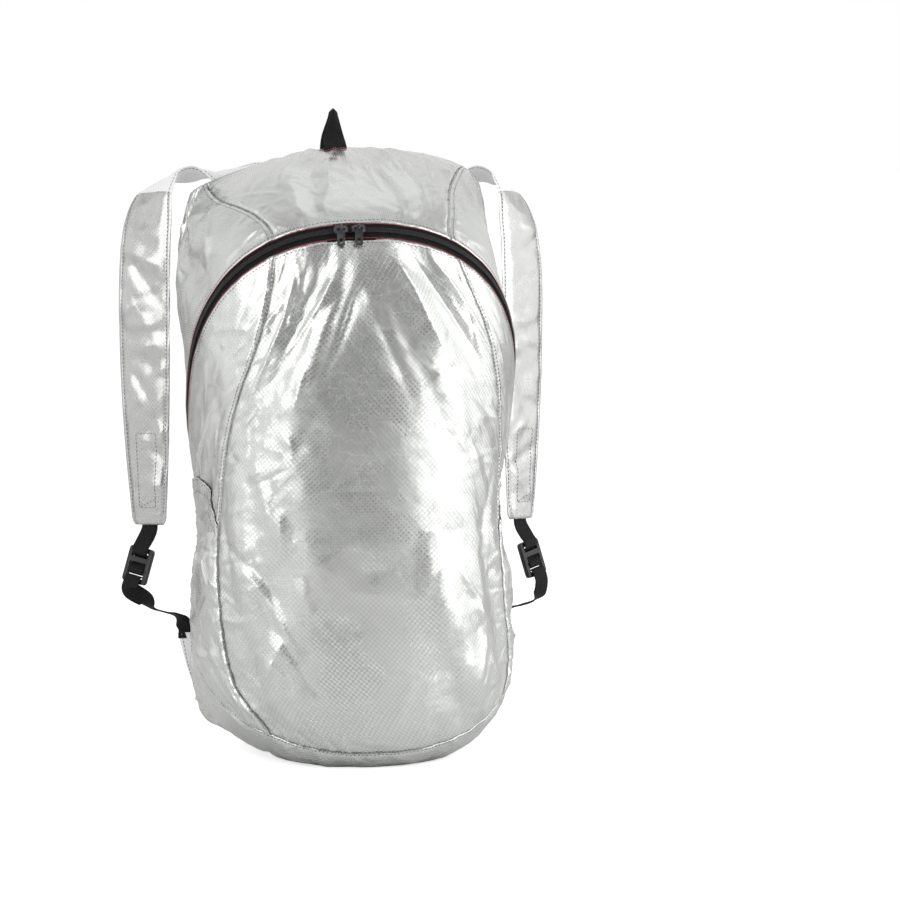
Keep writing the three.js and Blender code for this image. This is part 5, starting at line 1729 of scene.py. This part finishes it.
@dataclass
class Stitching:
    """All the rows of thread on the shell, its pockets and the zip."""

    form: BagForm
    shell: Shell
    finishes: Finishes
    grey: Needle = field(default_factory=Needle)
    red: Needle = field(default_factory=lambda: Needle(length=1.9 * MM, pitch=1.95 * MM, radius=0.5 * MM))
    black: Needle = field(default_factory=lambda: Needle(length=1.6 * MM, pitch=2.2 * MM, radius=0.22 * MM))

    def rows_beside(self, name: str, edge: Edge, distances: tuple[float, ...]) -> None:
        """Sews rows at distances inside one edge of a panel."""
        surface = self.shell.surfaces[name]
        for distance in distances:
            line, normals = surface.inset(edge, distance)
            self.grey.sew(line, normals)

    def sew_all(self) -> None:
        """Sews every seam of the shell and the zip's tapes."""
        band = self.shell.band
        for side, edge in ((Side.LEFT, Edge.RIGHT), (Side.RIGHT, Edge.LEFT)):
            for panel in ("side_panel", "shoulder_panel"):
                self.rows_beside(f"{panel}_{side.word}", edge, (1.1 * MM, band - 0.9 * MM))
            self.rows_beside(f"side_panel_{side.word}", Edge.HIGH, (3.2 * MM,))
            self.rows_beside(f"shoulder_panel_{side.word}", Edge.LOW, (3.2 * MM,))
            self.rows_beside(f"side_pocket_{side.word}", Edge.HIGH, (2.0 * MM, 12.0 * MM))
        self.rows_beside("front_panel", Edge.HIGH, (3.2 * MM,))
        self.rows_beside("top_panel", Edge.LOW, (3.2 * MM,))
        self.rows_beside("bottom_panel", Edge.HIGH, (1.6 * MM,))
        self.rows_beside("front_panel", Edge.LOW, (1.8 * MM,))
        across = np.linspace(-0.995, 0.995, 700)
        along = np.full_like(across, ZIP_LINE)
        out = self.form.outward(across, along)
        edge = TAPE_WIDTH / 2 - 0.5 * MM
        for offset, needle, lift in ((-edge, self.red, 0.1), (edge, self.red, 0.1),
                                     (-1.5 * MM, self.black, 1.5), (1.5 * MM, self.black, 1.5)):
            shifted = along + self.form.step_along(across, along, offset)
            needle.sew(self.form.point(across, shifted, lift * MM), out)

    def finish(self) -> None:
        """Makes the sewn rows into three pieces."""
        for needle, name, slot, material in (
                (self.grey, "grey_stitches", "ripstop_cloth", self.finishes.grey_thread),
                (self.red, "red_stitches", "zip_tape", self.finishes.red_thread),
                (self.black, "coil_stitches", "zip_tape", self.finishes.black_thread)):
            ride_with(needle.piece(name, material), slot)


# The studio's soft lights: name, place, size and power, all looking at LIT_POINT.
LIT_POINT = (0.0, -0.02, 0.25)
SOFTBOXES = (
    ("left_box", (-1.27, -0.94, 0.95), (1.3, 1.5), 13.5),
    ("right_box", (1.3, -0.88, 0.8), (1.5, 1.6), 17.0),
    ("left_side_box", (-1.7, 0.15, 0.6), (1.2, 1.3), 3.0),
    ("right_side_box", (1.7, 0.1, 0.6), (1.2, 1.4), 5.5),
    ("high_box", (0.1, -0.9, 1.35), (1.0, 0.4), 1.1),
    ("top_box", (0.1, -0.05, 1.7), (1.6, 1.1), 2.6),
)


@dataclass
class Studio:
    """The pale floor, the soft lights and the camera at the photograph's angle."""

    azimuth: float = -9.0
    elevation: float = 5.0
    distance: float = 3.0
    view_width: float = 0.708
    aim_right: float = 80.3 * MM
    aim_up: float = 236.9 * MM
    floor_size: float = 60.0
    floor_glow: float = 0.65
    sky_levels: tuple[float, ...] = (-0.4, 0.8, 0.24, 0.95)

    def axes(self) -> tuple[Vector, Vector, Vector]:
        """The camera's right, up and backward directions."""
        a, e = math.radians(self.azimuth), math.radians(self.elevation)
        back = Vector((math.sin(a) * math.cos(e), -math.cos(a) * math.cos(e), math.sin(e)))
        right = Vector((math.cos(a), math.sin(a), 0.0))
        return right, back.cross(right), back

    def camera(self) -> None:
        """A long lens whose frame is view_width across at the bag."""
        right, up, back = self.axes()
        data = bpy.data.cameras.new("camera")
        data.sensor_width = 36.0
        data.lens = data.sensor_width * self.distance / self.view_width
        data.clip_start, data.clip_end = 0.05, 200.0
        camera = bpy.data.objects.new("camera", data)
        target = right * self.aim_right + up * self.aim_up
        camera.location = target + back * self.distance
        turn = Matrix((right, up, back)).transposed().to_4x4()
        camera.rotation_mode = "QUATERNION"
        camera.rotation_quaternion = turn.to_quaternion()
        bpy.context.scene.collection.objects.link(camera)
        bpy.context.scene.camera = camera

    def softbox(self, name: str, place: tuple, size: tuple[float, float], power: float) -> None:
        """One large area light that looks at the bag's middle."""
        data = bpy.data.lights.new(name, "AREA")
        data.shape, data.size, data.size_y, data.energy = "RECTANGLE", size[0], size[1], power
        light = bpy.data.objects.new(name, data)
        light.location = place
        way = Vector(place) - Vector(LIT_POINT)
        light.rotation_mode = "QUATERNION"
        light.rotation_quaternion = way.to_track_quat("Z", "Y")
        bpy.context.scene.collection.objects.link(light)

    def floor(self) -> None:
        """A wide pale floor under the bag."""
        half = self.floor_size / 2
        corners = np.array([(-half, -half, 0.0), (half, -half, 0.0), (half, half, 0.0), (-half, half, 0.0)])
        g = Graph("pale_floor")
        speckle = g.noise(g.place(), 30.0, 3.0)
        material = g.wear(g.blend(speckle, (0.8, 0.8, 0.8), (0.82, 0.82, 0.82)), None, 0.95)
        seen = g.node("LightPath", {}).outputs["Is Camera Ray"]
        g.tree.links.new(g.maths("MULTIPLY", seen, self.floor_glow), g.shader.inputs["Emission Strength"])
        g.shader.inputs["Emission Color"].default_value = (1.0, 1.0, 1.0, 1.0)
        floor = mesh_object("floor", corners, [(0, 1, 2, 3)], material)

    def sky(self) -> None:
        """Plain white for the camera; as light, dim in front of the bag and brighter behind it."""
        world = bpy.data.worlds.new("studio")
        bpy.context.scene.world = world
        world.use_nodes = True
        tree = world.node_tree
        tree.nodes.clear()

        def node(kind: str, **settings: object) -> bpy.types.Node:
            """A node of the world's tree."""
            made = tree.nodes.new(f"ShaderNode{kind}")
            for name, value in settings.items():
                setattr(made, name, value)
            return made

        way, axes, reach = node("TexCoord"), node("SeparateXYZ"), node("MapRange", interpolation_type="SMOOTHSTEP")
        for key, value in zip(("From Min", "From Max", "To Min", "To Max"), self.sky_levels):
            reach.inputs[key].default_value = value
        seen, mix = node("LightPath"), node("MixShader")
        lit, white, output = node("Background"), node("Background"), node("OutputWorld")
        tree.links.new(way.outputs["Generated"], axes.inputs[0])
        tree.links.new(axes.outputs[1], reach.inputs["Value"])
        tree.links.new(reach.outputs[0], lit.inputs["Strength"])
        tree.links.new(seen.outputs["Is Camera Ray"], mix.inputs[0])
        tree.links.new(lit.outputs[0], mix.inputs[1])
        tree.links.new(white.outputs[0], mix.inputs[2])
        lit.inputs["Color"].default_value = white.inputs["Color"].default_value = (1.0, 1.0, 1.0, 1.0)
        tree.links.new(mix.outputs[0], output.inputs[0])

    def build(self) -> None:
        """Sets up the whole studio."""
        self.camera()
        self.floor()
        self.sky()
        for box in SOFTBOXES:
            self.softbox(*box)
        bpy.context.scene.view_settings.view_transform = "Standard"


def main() -> None:
    """Builds the pack piece by piece over its frame."""
    logging.basicConfig(level=logging.INFO, format="%(message)s")
    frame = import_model()
    Studio().build()
    form, finishes = BagForm(), Finishes()
    shell = Shell(form, finishes)
    shell.build()
    for side in Side:
        Pocket(form, shell, side).build()
    ZipClosure(form, finishes, frame).build()
    stitching = Stitching(form, shell, finishes)
    for side in Side:
        Harness(form, finishes, frame, side).build(stitching.grey)
    GrabLoop(form, finishes).build(stitching.red)
    stitching.sew_all()
    stitching.finish()


if __name__ == "__main__":
    main()
